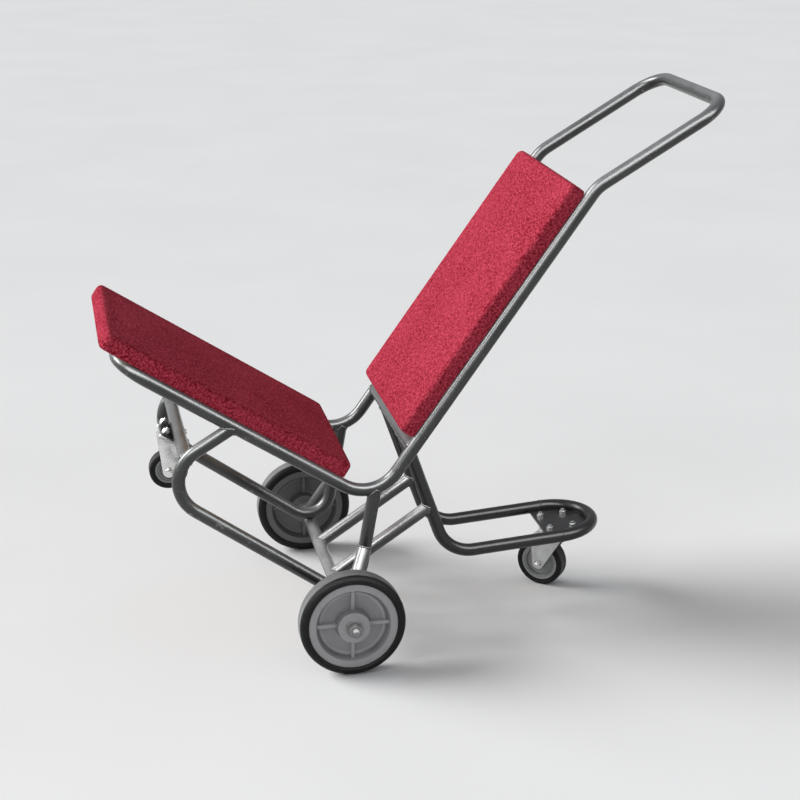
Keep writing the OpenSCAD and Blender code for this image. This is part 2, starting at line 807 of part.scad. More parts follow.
module fork(wheel, width, height, trail) {
    eye = [trail, wheel - height];
    lead = [-fork_lead, fork_top - fork_lead_h];
    reach = norm(eye - lead);
    slope = heading(lead, eye) - asin(fork_eye_r / reach);
    touch = lead + sqrt(reach * reach - fork_eye_r * fork_eye_r) * unit(slope);
    half = fork_half(width);
    color(zinc_colour) difference() {
        union() {
            translate([-fork_lead, -half - fork_t, fork_inner])
                cube([2 * fork_lead, 2 * (half + fork_t), fork_t]);
            for (y = [half + fork_t, -half]) translate([0, y, 0]) rotate([90, 0, 0]) {
                linear_extrude(fork_t) polygon([
                    [-fork_lead, fork_top], lead, touch, eye,
                    eye + [fork_eye_r, 0], [trail + fork_eye_r, fork_top]]);
                translate([eye.x, eye.y, 0]) cylinder(h = fork_t, r = fork_eye_r);
            }
        }
        translate([0, 0, fork_inner - overrun]) cylinder(h = fork_t + 2 * overrun, r = kingpin_r + run_gap);
        translate([eye.x, half + fork_t + overrun, eye.y]) rotate([90, 0, 0])
            cylinder(h = 2 * (half + fork_t + overrun), r = pin_r + seat_gap);
    }
}

// The caster wheel's own frame: origin at its centre, axis along Z
module at_caster_wheel(wheel, height, trail) {
    translate([trail, 0, wheel - height]) rotate([90, 0, 0]) children();
}

module axle_bolt(width) {
    half = fork_half(width) + fork_t;
    color(zinc_colour) {
        cylinder(h = 2 * half, r = pin_r, center = true);
        translate([0, 0, half]) cylinder(h = pin_head_t, r = pin_head_r);
        translate([0, 0, -half - nut_h]) cylinder(h = nut_h, r = nut_af / 2 / cos(30), $fn = 6);
    }
}

module sleeve(width) {
    color(zinc_colour) difference() {
        cylinder(h = 2 * fork_half(width), r = sleeve_r, center = true);
        cylinder(h = 2 * (fork_half(width) + overrun), r = pin_r + seat_gap, center = true);
    }
}

module caster_core(wheel, width) {
    seat = wheel - caster_rubber;
    rim_half = width / 2 - caster_rim_inset;
    web_half = caster_web_t / 2;
    hub_len = fork_half(width) - side_gap;
    bore = sleeve_r + run_gap;
    color(core_colour) rotate_extrude() polygon([
        [bore, -hub_len], [caster_hub_r, -hub_len], [caster_hub_r, -web_half], [seat - caster_rim, -web_half],
        [seat - caster_rim, -rim_half], [seat, -rim_half], [seat, rim_half], [seat - caster_rim, rim_half],
        [seat - caster_rim, web_half], [caster_hub_r, web_half], [caster_hub_r, hub_len], [bore, hub_len]]);
}

module caster_tyre(wheel, width) {
    color(tyre_colour) rotate_extrude()
        tyre_outline(wheel - caster_rubber + seat_gap, wheel, width, caster_round);
}

module at_rear_wheel() {
    at_rear_swivel() at_caster_wheel(rear_wheel_r, rear_height, rear_trail) children();
}

module at_front_wheel() {
    at_front_caster() at_caster_wheel(front_wheel_r, front_height, front_trail) children();
}

side_rail(-1);  // left_side_rail
side_rail(1);  // right_side_rail
bow(seat_end, seat_way);  // seat_front_bow
bow(grip_end, grip_angle);  // handle_bow
lower_loop(-1);  // left_lower_loop
lower_loop(1);  // right_lower_loop
front_cross_tube();
back_cross_tube();
axle_tube();
outrigger(-1);  // left_outrigger
outrigger(1);  // right_outrigger
stay(-1);  // left_stay
stay(1);  // right_stay
rear_leg(-1);  // left_rear_leg
rear_leg(1);  // right_rear_leg
rear_bow();
rear_mount_plate();
front_mount_plate();
color(tube_colour) on_seat() lugs(seat_pad_l);  // seat_lugs
color(tube_colour) on_back() lugs(back_pad_l);  // back_lugs
color(plywood_colour) on_seat() board(seat_pad_l);  // seat_board
color(plywood_colour) on_back() board(back_pad_l);  // back_board
color(carpet_colour) on_seat() pad(seat_pad_l);  // seat_pad
color(carpet_colour) on_back() pad(back_pad_l);  // back_pad
color(zinc_colour) on_seat() screws(seat_pad_l);  // seat_screws
color(zinc_colour) on_back() screws(back_pad_l);  // back_screws
axle();
hub_washers();
axle_nuts();
wheel_core(-1);  // left_wheel_core
wheel_core(1);  // right_wheel_core
wheel_tyre(-1);  // left_wheel_tyre
wheel_tyre(1);  // right_wheel_tyre
hub_bushes(-1);  // left_hub_bushes
hub_bushes(1);  // right_hub_bushes
at_rear_caster() top_plate(rear_top_l, rear_top_w, rear_bolt_l, rear_bolt_w);  // rear_top_plate
at_front_caster() top_plate(front_top_l, front_top_w, front_bolt_l, front_bolt_w);  // front_top_plate
at_rear_caster() plate_bolts(rear_bolt_l, rear_bolt_w);  // rear_plate_bolts
at_front_caster() plate_bolts(front_bolt_l, front_bolt_w);  // front_plate_bolts
at_rear_caster() plate_nuts(rear_bolt_l, rear_bolt_w);  // rear_plate_nuts
at_front_caster() plate_nuts(front_bolt_l, front_bolt_w);  // front_plate_nuts
at_rear_caster() race();  // rear_race
at_front_caster() race();  // front_race
at_rear_swivel() balls();  // rear_balls
at_front_caster() balls();  // front_balls
at_rear_caster() kingpin();  // rear_kingpin
at_front_caster() kingpin();  // front_kingpin
at_rear_swivel() fork(rear_wheel_r, rear_tyre_w, rear_height, rear_trail);  // rear_fork
at_front_caster() fork(front_wheel_r, front_tyre_w, front_height, front_trail);  // front_fork
at_rear_wheel() axle_bolt(rear_tyre_w);  // rear_axle_bolt
at_front_wheel() axle_bolt(front_tyre_w);  // front_axle_bolt
at_rear_wheel() sleeve(rear_tyre_w);  // rear_sleeve
at_front_wheel() sleeve(front_tyre_w);  // front_sleeve
at_rear_wheel() caster_core(rear_wheel_r, rear_tyre_w);  // rear_caster_core
at_front_wheel() caster_core(front_wheel_r, front_tyre_w);  // front_caster_core
at_rear_wheel() caster_tyre(rear_wheel_r, rear_tyre_w);  // rear_caster_tyre
at_front_wheel() caster_tyre(front_wheel_r, front_tyre_w);  // front_caster_tyre
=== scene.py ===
import json
import math

import bmesh
import bpy
from mathutils import Matrix, Vector, noise


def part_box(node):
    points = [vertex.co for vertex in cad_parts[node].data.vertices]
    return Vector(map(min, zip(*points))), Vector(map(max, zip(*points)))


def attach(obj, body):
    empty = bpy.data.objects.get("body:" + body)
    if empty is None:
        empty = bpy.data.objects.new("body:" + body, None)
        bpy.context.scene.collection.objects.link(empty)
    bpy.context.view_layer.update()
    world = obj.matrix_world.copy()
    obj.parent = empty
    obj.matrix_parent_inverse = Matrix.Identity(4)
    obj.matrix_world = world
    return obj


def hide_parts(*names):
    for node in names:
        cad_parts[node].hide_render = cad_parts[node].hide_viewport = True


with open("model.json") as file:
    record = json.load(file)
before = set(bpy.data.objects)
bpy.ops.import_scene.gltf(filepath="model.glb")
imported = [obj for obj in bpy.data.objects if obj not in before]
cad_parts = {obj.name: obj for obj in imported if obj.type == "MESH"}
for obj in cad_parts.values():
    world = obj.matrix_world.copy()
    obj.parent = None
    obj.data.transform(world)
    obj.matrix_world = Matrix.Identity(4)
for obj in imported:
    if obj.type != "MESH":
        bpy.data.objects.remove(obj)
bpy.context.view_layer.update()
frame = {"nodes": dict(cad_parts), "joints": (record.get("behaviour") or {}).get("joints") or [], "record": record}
scene = bpy.context.scene
joints = {joint["name"]: joint for joint in frame["joints"]}

# Places taken from the frame
AXLE = Vector(joints["left_wheel_spin"]["pos_m"])
AXLE.y = 0
WHEEL_Y = joints["right_wheel_spin"]["pos_m"][1]

# Angles of the seat and of the back
SEAT_ANGLE = math.radians(32.3)
BACK_ANGLE = math.radians(54.8)

# Sizes in metres, counts and angles that several pieces share
MERGE = 1e-6
TUBE_R = 0.0125
TURN_STEPS = 96
CORNER_STEPS = 6
SHEET_ROUND = 0.0006
SHARP = math.radians(35)
RIM_BEND = math.radians(60)

# Wheel sizes that the finishes follow too
CORE_R = 0.084
REAR_CASTER_R = 0.050
CASTER_RUBBER = 0.011

# Camera, measured from the middle of the axle
CAMERA_FROM_AXLE = Vector((-0.5227, -3.2975, 1.4234))
CAMERA_FORWARD = Vector((0.19058, 0.93154, -0.30970))
CAMERA_RIGHT = Vector((0.97996, -0.19914, 0.00405))
CAMERA_LENS = 80.54
CAMERA_SENSOR = 36.0


# Materials


def tinted(colour, share):
    """The colour made darker or lighter."""
    return tuple(min(1, c * share) for c in colour)


class Finish:
    """A material and its nodes; its patterns lie on the piece's own coordinates, in metres."""

    def __init__(self, name):
        self.material = bpy.data.materials.new(name)
        self.material.use_nodes = True
        self.nodes = self.material.node_tree.nodes
        self.link = self.material.node_tree.links.new
        self.shader = self.nodes["Principled BSDF"]

    def add(self, kind, **inputs):
        """A node with some inputs set; an underscore stands for a space in an input's name."""
        node = self.nodes.new(kind)
        for key, value in inputs.items():
            node.inputs[key.replace("_", " ")].default_value = value
        return node

    def place(self):
        return self.nodes.new("ShaderNodeTexCoord").outputs["Object"]

    def layer(self, name):
        """A value that the mesh keeps for each vertex."""
        node = self.nodes.new("ShaderNodeAttribute")
        node.attribute_name = name
        return node.outputs["Fac"]

    def grain(self, scale, detail=3.0, roughness=0.55, stretch=(1, 1, 1)):
        """Cloudy noise."""
        mapping = self.add("ShaderNodeMapping", Scale=stretch)
        self.link(self.place(), mapping.inputs["Vector"])
        node = self.add("ShaderNodeTexNoise", Scale=scale, Detail=detail, Roughness=roughness)
        self.link(mapping.outputs["Vector"], node.inputs["Vector"])
        return node.outputs["Fac"]

    def cells(self, scale):
        """Small cells; the value grows away from the middle of each."""
        node = self.add("ShaderNodeTexVoronoi", Scale=scale)
        self.link(self.place(), node.inputs["Vector"])
        return node.outputs["Distance"]

    def facing_up(self):
        """The share by which a surface faces up, 0 for undersides; tube paint sets its painted light and shade by
        it.
        """
        geometry = self.nodes.new("ShaderNodeNewGeometry")
        parts = self.nodes.new("ShaderNodeSeparateXYZ")
        self.link(geometry.outputs["Normal"], parts.inputs["Vector"])
        return self.ranged(parts.outputs["Z"], 0.0, 1.0, 0.05, 0.95)

    def ranged(self, source, low, high, from_low=0.3, from_high=0.7):
        """The source's range from_low to from_high becomes low to high."""
        ends = {"From_Min": from_low, "From_Max": from_high, "To_Min": low, "To_Max": high}
        node = self.add("ShaderNodeMapRange", **ends)
        self.link(source, node.inputs["Value"])
        return node.outputs["Result"]

    def ramp(self, source, *stops):
        """A colour ramp; each stop is (place, colour)."""
        node = self.nodes.new("ShaderNodeValToRGB")
        elements = node.color_ramp.elements
        while len(elements) < len(stops):
            elements.new(0.5)
        for element, (place, colour) in zip(elements, stops):
            element.position = place
            element.color = (*colour, 1)
        self.link(source, node.inputs["Fac"])
        return node.outputs["Color"]

    def mixed(self, share, first, second):
        """First colour where share is 0, second where it is 1; each is a socket or a colour."""
        node = self.nodes.new("ShaderNodeMix")
        node.data_type = "RGBA"
        for key, value in (("A", first), ("B", second)):
            socket = next(s for s in node.inputs if s.name == key and s.type == "RGBA")
            if isinstance(value, tuple):
                socket.default_value = (*value, 1)
            else:
                self.link(value, socket)
        factor = next(s for s in node.inputs if s.name == "Factor" and s.type == "VALUE")
        self.link(share, factor)
        return next(s for s in node.outputs if s.type == "RGBA")

    def combined(self, operation, first, second):
        node = self.nodes.new("ShaderNodeMath")
        node.operation = operation
        self.link(first, node.inputs[0])
        self.link(second, node.inputs[1])
        return node.outputs["Value"]

    def set(self, **values):
        """Plain values on the shader's sockets."""
        for key, value in values.items():
            self.shader.inputs[key.replace("_", " ")].default_value = value

    def drive(self, key, source):
        """A pattern on one of the shader's sockets."""
        self.link(source, self.shader.inputs[key])

    def bump(self, height, strength, distance):
        node = self.add("ShaderNodeBump", Strength=strength, Distance=distance)
        self.link(height, node.inputs["Height"])
        self.drive("Normal", node.outputs["Normal"])


def tube_paint(name, colour, worn, metallic, roughness, coat):
    """Satin paint on steel tube: painted light makes it lighter on top and painted shade makes it darker
    underneath; fine orange peel, short scratches along the tubes.
    """
    paint = Finish(name)
    patches = paint.grain(14.0, 4.0)
    # Painted shade on the undersides and painted light on the tops, blended by how far each surface faces up.
    under = paint.ramp(patches, (0.3, tinted(colour, 0.22)), (0.7, tinted(colour, 0.38)))
    painted_light_top = paint.ramp(patches, (0.3, tinted(colour, 1.9)), (0.7, tinted(colour, 2.7)))
    tone = paint.mixed(paint.facing_up(), under, painted_light_top)
    scratches = paint.grain(160.0, 2.0, 0.7, stretch=(0.25, 1, 0.25))
    scuffs = paint.ranged(scratches, 0.0, 0.55, 0.66, 0.74)
    paint.drive("Base Color", paint.mixed(scuffs, tone, worn))
    paint.drive("Roughness", paint.ranged(patches, roughness * 0.85, roughness * 1.25))
    paint.set(Metallic=metallic, Coat_Weight=coat, Coat_Roughness=0.26)
    paint.bump(paint.grain(900.0, 2.0), 0.12, 0.0004)
    return paint.material


def zinc_plate(name, colour, roughness):
    """Bright zinc on pressed steel: cloudy, with a fine spangle."""
    zinc = Finish(name)
    clouds = zinc.grain(55.0, 4.0)
    tone = zinc.ramp(clouds, (0.3, tinted(colour, 0.8)), (0.7, tinted(colour, 1.12)))
    spangle = zinc.ranged(zinc.cells(260.0), 0.0, 0.22, 0.0, 0.6)
    zinc.drive("Base Color", zinc.mixed(spangle, tone, tinted(colour, 0.7)))
    zinc.drive("Roughness", zinc.ranged(clouds, roughness * 0.8, roughness * 1.3))
    zinc.set(Metallic=0.9)
    zinc.bump(zinc.grain(500.0, 2.0), 0.08, 0.0002)
    return zinc.material


def moulded_core(name, colour, rim_r, tone_shares):
    """Moulded plastic, its brightness by (share of the rim's radius, brightness), with painted shade as dark rings
    in its corners, cloudy dirt and specks, and painted shade on its inner face.
    """
    core = Finish(name)
    across = core.ranged(core.layer("reach"), 0.0, 1.0, 0.0, rim_r)
    tone = core.ramp(across, *[(place, tinted(colour, bright)) for place, bright in tone_shares])
    clouds = core.grain(28.0, 5.0)
    dirt = tinted(colour, 0.55)
    dusted = core.mixed(core.ranged(clouds, 0.0, 0.3), tone, dirt)
    specks = core.ranged(core.grain(420.0, 2.0), 0.0, 0.3, 0.6, 0.75)
    specked = core.mixed(specks, dusted, dirt)
    # Painted shade over the inner face, which the layer marks.
    painted_shade_inner = core.ranged(core.layer("inner"), 0.0, 0.75, 0.0, 1.0)
    core.drive("Base Color", core.mixed(painted_shade_inner, specked, tinted(colour, 0.12)))
    core.drive("Roughness", core.ranged(clouds, 0.42, 0.6))
    core.bump(core.grain(1500.0, 2.0), 0.2, 0.0003)
    return core.material


def tyre_rubber(name, tread_r, dust):
    """Black rubber; the tread, found by its distance from the axis, is grey with floor dust."""
    tyre = Finish(name)
    clouds = tyre.grain(60.0, 5.0)
    rubber = tyre.ramp(clouds, (0.35, (0.0035, 0.0035, 0.004)), (0.75, (0.010, 0.010, 0.011)))
    tread = tyre.ranged(tyre.layer("reach"), 0.0, 1.0, tread_r - 0.0007, tread_r - 0.0001)
    dusty = tyre.combined("MULTIPLY", tread, tyre.ranged(clouds, 0.75, 1.0))
    tyre.drive("Base Color", tyre.mixed(dusty, rubber, dust))
    tyre.drive("Roughness", tyre.ranged(clouds, 0.45, 0.65))
    tyre.set(Specular_IOR_Level=0.2)
    tyre.bump(tyre.grain(800.0), 0.25, 0.0005)
    return tyre.material


def pile_carpet(name, deep, bright):
    """Cut pile carpet: tufts a few millimetres across with painted shade between them, flecked from dark to light,
    brushed in patches.
    """
    carpet = Finish(name)
    tufts = carpet.cells(300.0)
    flecks = carpet.grain(230.0, 2.0, 0.6)
    tone = carpet.ramp(flecks, (0.37, deep), (0.65, bright))
    # Painted shade in the hollows between the tufts.
    painted_shade_between_tufts = carpet.ranged(tufts, 0.0, 0.45, 0.1, 0.75)
    tufted = carpet.mixed(painted_shade_between_tufts, tone, tinted(deep, 0.55))
    brushed = carpet.ranged(carpet.grain(9.0), 0.0, 0.18)
    carpet.drive("Base Color", carpet.mixed(brushed, tufted, bright))
    carpet.set(Roughness=0.95, Specular_IOR_Level=0.0)
    carpet.set(Sheen_Weight=0.04, Sheen_Roughness=0.55, Sheen_Tint=(1.0, 0.55, 0.6, 1))
    carpet.bump(carpet.combined("SUBTRACT", flecks, tufts), 0.55, 0.0012)
    return carpet.material


def plywood(name):
    """Bare plywood: long grain on the face, with pores."""
    ply = Finish(name)
    grain = ply.grain(40.0, 6.0, 0.65, stretch=(1, 12, 1))
    tone = ply.ramp(
        grain, (0.3, (0.36, 0.22, 0.11)), (0.55, (0.56, 0.38, 0.21)), (0.75, (0.66, 0.48, 0.29))
    )
    pores = ply.ranged(ply.grain(300.0, 2.0, 0.6, stretch=(0.2, 3, 0.2)), 0.0, 0.5, 0.62, 0.7)
    ply.drive("Base Color", ply.mixed(pores, tone, (0.25, 0.14, 0.07)))
    ply.set(Roughness=0.7)
    ply.bump(grain, 0.2, 0.0006)
    return ply.material


def pale_floor(name):
    """A plain floor with a hardly visible cloudiness."""
    floor = Finish(name)
    tone = floor.ramp(floor.grain(1.5, 2.0), (0.3, (0.83, 0.83, 0.83)), (0.7, (0.86, 0.86, 0.86)))
    floor.drive("Base Color", tone)
    floor.set(Roughness=0.85)
    return floor.material


# Every tube paint below is painted lighter on top and darker underneath, as painted light and shade.
GREY_PAINT = tube_paint(
    "grey_tube_paint", colour=(0.105, 0.107, 0.108), worn=(0.30, 0.30, 0.29),
    metallic=0.45, roughness=0.34, coat=0.4,
)
LIGHT_PAINT = tube_paint(
    "light_tube_paint", colour=(0.22, 0.222, 0.224), worn=(0.42, 0.42, 0.41),
    metallic=0.45, roughness=0.34, coat=0.4,
)
BLACK_PAINT = tube_paint(
    "black_tube_paint", colour=(0.012, 0.012, 0.013), worn=(0.08, 0.08, 0.08),
    metallic=0.1, roughness=0.34, coat=0.25,
)
WELD_STEEL = tube_paint(
    "painted_weld", colour=(0.16, 0.16, 0.16), worn=(0.4, 0.4, 0.39),
    metallic=0.5, roughness=0.36, coat=0.3,
)
BLACK_WELD = tube_paint(
    "black_weld", colour=(0.06, 0.06, 0.062), worn=(0.2, 0.2, 0.2),
    metallic=0.3, roughness=0.38, coat=0.3,
)
ZINC = zinc_plate("zinc_plate", colour=(0.66, 0.67, 0.67), roughness=0.30)
BRIGHT_ZINC = zinc_plate("bright_zinc", colour=(0.80, 0.80, 0.79), roughness=0.26)
WORN_STEEL = zinc_plate("worn_steel", colour=(0.24, 0.24, 0.243), roughness=0.5)
# In both cores' ramps the darkest stops are painted shade in the moulding's corners, at the hub's foot and at the
# web's outer edge.
CORE_GREY = moulded_core(
    "moulded_grey_core", colour=(0.38, 0.372, 0.387), rim_r=CORE_R,
    tone_shares=[
        (0.35, 1.0), (0.385, 0.3), (0.42, 0.75), (0.68, 0.78), (0.70, 1.1), (0.745, 0.85),
        (0.765, 0.34), (0.80, 0.5), (0.85, 0.98),
    ],
)
CASTER_GREY = moulded_core(
    "caster_grey_core", colour=(0.34, 0.35, 0.35), rim_r=REAR_CASTER_R - CASTER_RUBBER,
    tone_shares=[(0.28, 1.0), (0.33, 0.4), (0.40, 0.7), (0.70, 0.7), (0.76, 0.4), (0.82, 0.95)],
)
CARPET = pile_carpet("red_carpet", deep=(0.20, 0.004, 0.013), bright=(0.70, 0.085, 0.135))
PLYWOOD = plywood("plywood")
FLOOR_DUST = (0.24, 0.243, 0.247)
CASTER_DUST = (0.05, 0.05, 0.05)

CAD_FINISH = {
    "frame_paint": GREY_PAINT,
    "light_paint": LIGHT_PAINT,
    "dark_paint": BLACK_PAINT,
    "zinc": ZINC,
    "wheel_core": CORE_GREY,
    "carpet": CARPET,
    "plywood": PLYWOOD,
}


def finish_cad_nodes():
    """Every node that is shown as it is takes the finish of its slot in the record."""
    for subpart in frame["record"]["subparts"]:
        finish = CAD_FINISH.get(subpart["material_slot"])
        if finish:
            slots = frame["nodes"][subpart["node"]].data.materials
            slots.clear()
            slots.append(finish)


# Mesh helpers

CORNER_SHARE = 0.49


def as_piece(name, bm, material, body, replaced=()):
    """A bmesh becomes a shaded object at the origin that rides on a body."""
    bmesh.ops.recalc_face_normals(bm, faces=bm.faces)
    mesh = bpy.data.meshes.new(name)
    bm.to_mesh(mesh)
    bm.free()
    mesh.materials.append(material)
    mesh.shade_smooth()
    mesh.set_sharp_from_angle(angle=SHARP)
    obj = bpy.data.objects.new(name, mesh)
    scene.collection.objects.link(obj)
    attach(obj, body)
    if replaced:
        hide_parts(*replaced)
    return obj


def rectangle(half_x, half_y):
    return [(-half_x, -half_y), (half_x, -half_y), (half_x, half_y), (-half_x, half_y)]


def arc(centre, radius, start, end, steps):
    """Points along an arc, its angles in degrees."""
    angles = [math.radians(start + (end - start) * i / steps) for i in range(steps + 1)]
    return [Vector((centre[0] + radius * math.cos(a), centre[1] + radius * math.sin(a))) for a in angles]


def both_faces(half_profile):
    """A profile that is the same on both faces, from its outer half."""
    return half_profile + [(r, -z) for r, z in reversed(half_profile)]


def softened(outline, radius, steps, closed=True):
    """The outline with each corner rounded, as far as its sides have room."""
    points = [Vector(p) for p in outline]
    count = len(points)
    soft = []
    for i, corner in enumerate(points):
        if not closed and i in (0, count - 1):
            soft.append(corner)
            continue
        before = points[i - 1] - corner
        after = points[(i + 1) % count] - corner
        room = CORNER_SHARE * min(before.length, after.length)
        cut = min(radius / math.tan(before.angle(after) / 2), room)
        start = corner + before.normalized() * cut
        end = corner + after.normalized() * cut
        for step in range(steps + 1):
            t = step / steps
            soft.append((1 - t) ** 2 * start + 2 * t * (1 - t) * corner + t ** 2 * end)
    return soft


def bevelled(bm, edges, offset, segments=2):
    """Rounds the given edges."""
    bmesh.ops.bevel(
        bm, geom=edges, offset=offset, offset_type="OFFSET", segments=segments, profile=0.5,
        affect="EDGES", clamp_overlap=True, material=-1,
    )


def turned(profile, place, steps=TURN_STEPS, closed=True):
    """A profile of (radius, height) spun about local Z; a layer keeps each vertex's radius."""
    bm = bmesh.new()
    verts = [bm.verts.new((p[0], 0, p[1])) for p in profile]
    following = verts[1:] + verts[:1] if closed else verts[1:]
    edges = [bm.edges.new(pair) for pair in zip(verts, following)]
    bmesh.ops.spin(
        bm, geom=verts + edges, cent=(0, 0, 0), axis=(0, 0, 1), angle=math.tau, steps=steps, use_merge=True
    )
    bmesh.ops.remove_doubles(bm, verts=bm.verts, dist=MERGE)
    reach = bm.verts.layers.float.new("reach")
    for vert in bm.verts:
        vert[reach] = vert.co.xy.length
    bmesh.ops.transform(bm, matrix=place, verts=bm.verts)
    return bm


def raised(bm, faces, height):
    """The faces extruded along local Z to a closed solid."""
    top = bmesh.ops.extrude_face_region(bm, geom=faces)["geom"]
    moved = [v for v in top if isinstance(v, bmesh.types.BMVert)]
    bmesh.ops.translate(bm, vec=(0, 0, height), verts=moved)
    bmesh.ops.recalc_face_normals(bm, faces=bm.faces)


def slab(outline, thickness, place, rounding=0):
    """A flat outline given thickness along local Z, with its rims softened."""
    bm = bmesh.new()
    face = bm.faces.new([bm.verts.new((p[0], p[1], 0)) for p in outline])
    raised(bm, [face], thickness)
    if rounding:
        bevelled(bm, [e for e in bm.edges if e.calc_face_angle(0) > RIM_BEND], rounding)
    bmesh.ops.transform(bm, matrix=place, verts=bm.verts)
    return bm


def joined(*parts):
    """Several bmeshes become one."""
    whole = bmesh.new()
    for part in parts:
        mesh = bpy.data.meshes.new("part")
        part.to_mesh(mesh)
        part.free()
        whole.from_mesh(mesh)
        bpy.data.meshes.remove(mesh)
    return whole


def applied(obj):
    """The object's mesh with its modifiers applied, as a new mesh."""
    bpy.context.view_layer.update()
    graph = bpy.context.evaluated_depsgraph_get()
    return bpy.data.meshes.new_from_object(obj.evaluated_get(graph))


def carved(bm, tool, operation):
    """Boolean of one closed bmesh with another; both are used up."""
    objects = []
    for part in (bm, tool):
        bmesh.ops.recalc_face_normals(part, faces=part.faces)
        mesh = bpy.data.meshes.new("carving")
        part.to_mesh(mesh)
        part.free()
        obj = bpy.data.objects.new("carving", mesh)
        scene.collection.objects.link(obj)
        objects.append(obj)
    modifier = objects[0].modifiers.new("cut", "BOOLEAN")
    modifier.object = objects[1]
    modifier.operation = operation
    modifier.solver = "EXACT"
    mesh = applied(objects[0])
    result = bmesh.new()
    result.from_mesh(mesh)
    for obj in objects:
        used = obj.data
        bpy.data.objects.remove(obj)
        bpy.data.meshes.remove(used)
    bpy.data.meshes.remove(mesh)
    return result


# Large wheels

TYRE_R = 0.100
TYRE_SEAT_R = 0.08405
TYRE_HALF = 0.023
TYRE_SHOULDER = 0.013
SHOULDER_FROM = 80
SHOULDER_STEPS = 8
RIDGE_R = 0.0872
RIDGE = 0.0007
RIM_HALF = 0.020
RIM_INNER_R = 0.0705
WEB_HALF = 0.005
WEB_STEP = 0.0014
WEB_STEP_R = 0.058
WEB_R = 0.0645
WEB_FILLET = 0.001
HUB_R = 0.032
HUB_HALF = 0.028
HUB_BORE = 0.0131
HUB_CHAMFER = 0.001
HUB_DRAFT = 0.002
HUB_FOOT = 0.0004
RIB_W = 0.008
RIB_HALF = 0.013
RIB_ROUND = 0.0012
RIB_ROUND_STEPS = 3
RIB_TOP_SHARE = 0.82
RIB_IN_HUB = 0.0025
RIB_IN_RIM = 0.0005
RIB_IN_WEB = 0.002
RIB_COUNT = 4
CORE_ROUND = 0.0011
CORE_ROUND_STEPS = 3


def on_axle(side, distance):
    """A place on the axle, by its distance from the middle; local Z points outwards."""
    centre = AXLE + Vector((0, side * distance, 0))
    return Matrix.Translation(centre) @ Matrix.Rotation(-side * math.pi / 2, 4, "X")


def tyre_bm(place, seat_r, outer_r, half, shoulder, ridge_r, ridge):
    """A solid tyre: round shoulders, a moulded ridge on each wall and a parting line round the tread."""
    wall = [
        (seat_r, half - ridge * 2),
        (seat_r + ridge * 3, half - ridge),
        (ridge_r - ridge * 2, half - ridge),
        (ridge_r - ridge, half),
        (ridge_r + ridge, half),
        (ridge_r + ridge * 2, half - ridge / 2),
    ]
    turn = arc((outer_r - shoulder, half - shoulder), shoulder, SHOULDER_FROM, 0, SHOULDER_STEPS)
    parting = [(outer_r, ridge), (outer_r - ridge / 3, ridge / 3)]
    return turned(both_faces(wall + turn + parting), place)


def rib_bm(length, height, place):
    """A rib with soft edges that is narrower at its top."""
    bm = bmesh.new()
    bmesh.ops.create_cube(bm, size=1, matrix=Matrix.Diagonal((length, RIB_W, height, 1)))
    for vert in bm.verts:
        if vert.co.z > 0:
            vert.co.y *= RIB_TOP_SHARE
    bevelled(bm, bm.edges, RIB_ROUND, RIB_ROUND_STEPS)
    bmesh.ops.transform(bm, matrix=place, verts=bm.verts)
    return bm


def core_bm(place):
    """The moulded core: hub, dished web with a raised ring, sloping rim and four ribs on each face."""
    half = [
        (HUB_BORE, HUB_HALF - HUB_CHAMFER),
        (HUB_BORE + HUB_CHAMFER, HUB_HALF),
        (HUB_R - HUB_DRAFT, HUB_HALF),
        (HUB_R - HUB_FOOT, WEB_HALF + WEB_FILLET),
        (HUB_R + 2 * WEB_FILLET, WEB_HALF),
        (WEB_STEP_R, WEB_HALF),
        (WEB_STEP_R + WEB_STEP, WEB_HALF + WEB_STEP),
        (WEB_R, WEB_HALF + WEB_STEP),
        (RIM_INNER_R, RIM_HALF),
        (CORE_R, RIM_HALF),
    ]
    parts = [turned(softened(both_faces(half), CORE_ROUND, CORE_ROUND_STEPS), Matrix())]
    rib_l = RIM_INNER_R - HUB_R + RIB_IN_HUB + RIB_IN_RIM
    rib_h = RIB_HALF - WEB_HALF + RIB_IN_WEB
    seat = Matrix.Translation((HUB_R - RIB_IN_HUB + rib_l / 2, 0, RIB_HALF - rib_h / 2))
    for face in (0, math.pi):
        for i in range(RIB_COUNT):
            turn = Matrix.Rotation(face, 4, "X") @ Matrix.Rotation(math.tau * i / RIB_COUNT, 4, "Z")
            parts.append(rib_bm(rib_l, rib_h, turn @ seat))
    bm = joined(*parts)
    # A layer marks the inner face, which the core's finish darkens as painted shade.
    inner = bm.verts.layers.float.new("inner")
    for vert in bm.verts:
        vert[inner] = float(vert.co.z < 0)
    bmesh.ops.transform(bm, matrix=place, verts=bm.verts)
    return bm


def make_large_wheels():
    rubber = tyre_rubber("tyre_rubber", TYRE_R, FLOOR_DUST)
    for side, name in ((-1, "left"), (1, "right")):
        place = on_axle(side, WHEEL_Y)
        wheel = f"{name}_wheel"
        tyre = tyre_bm(place, TYRE_SEAT_R, TYRE_R, TYRE_HALF, TYRE_SHOULDER, RIDGE_R, RIDGE)
        as_piece(f"{name}_tyre", tyre, rubber, wheel, [f"{name}_wheel_tyre"])
        as_piece(f"{name}_core", core_bm(place), CORE_GREY, wheel, [f"{name}_wheel_core"])


# Axle ends: washers, lock nuts and threaded ends

WASHER_R = 0.017
WASHER_BORE = 0.0081
WASHER_T = 0.003
WASHER_ROUND = 0.0006
WASHER_ROUND_STEPS = 3
WASHER_STEPS = 64
NUT_AF = 0.024
NUT_H = 0.013
NUT_CHAMFER = 0.0012
NUT_SIDES = 6
NUT_BORE_STEPS = 24
NUT_BORE_SHARE = 1.05
AXLE_R = 0.008
AXLE_END_R = 0.0075
AXLE_TIP = 0.0022
AXLE_TIP_H = 0.0015
AXLE_IN_NUT = 0.001
AXLE_STEPS = 48
THREAD = 0.0006
THREAD_PITCH = 0.0015


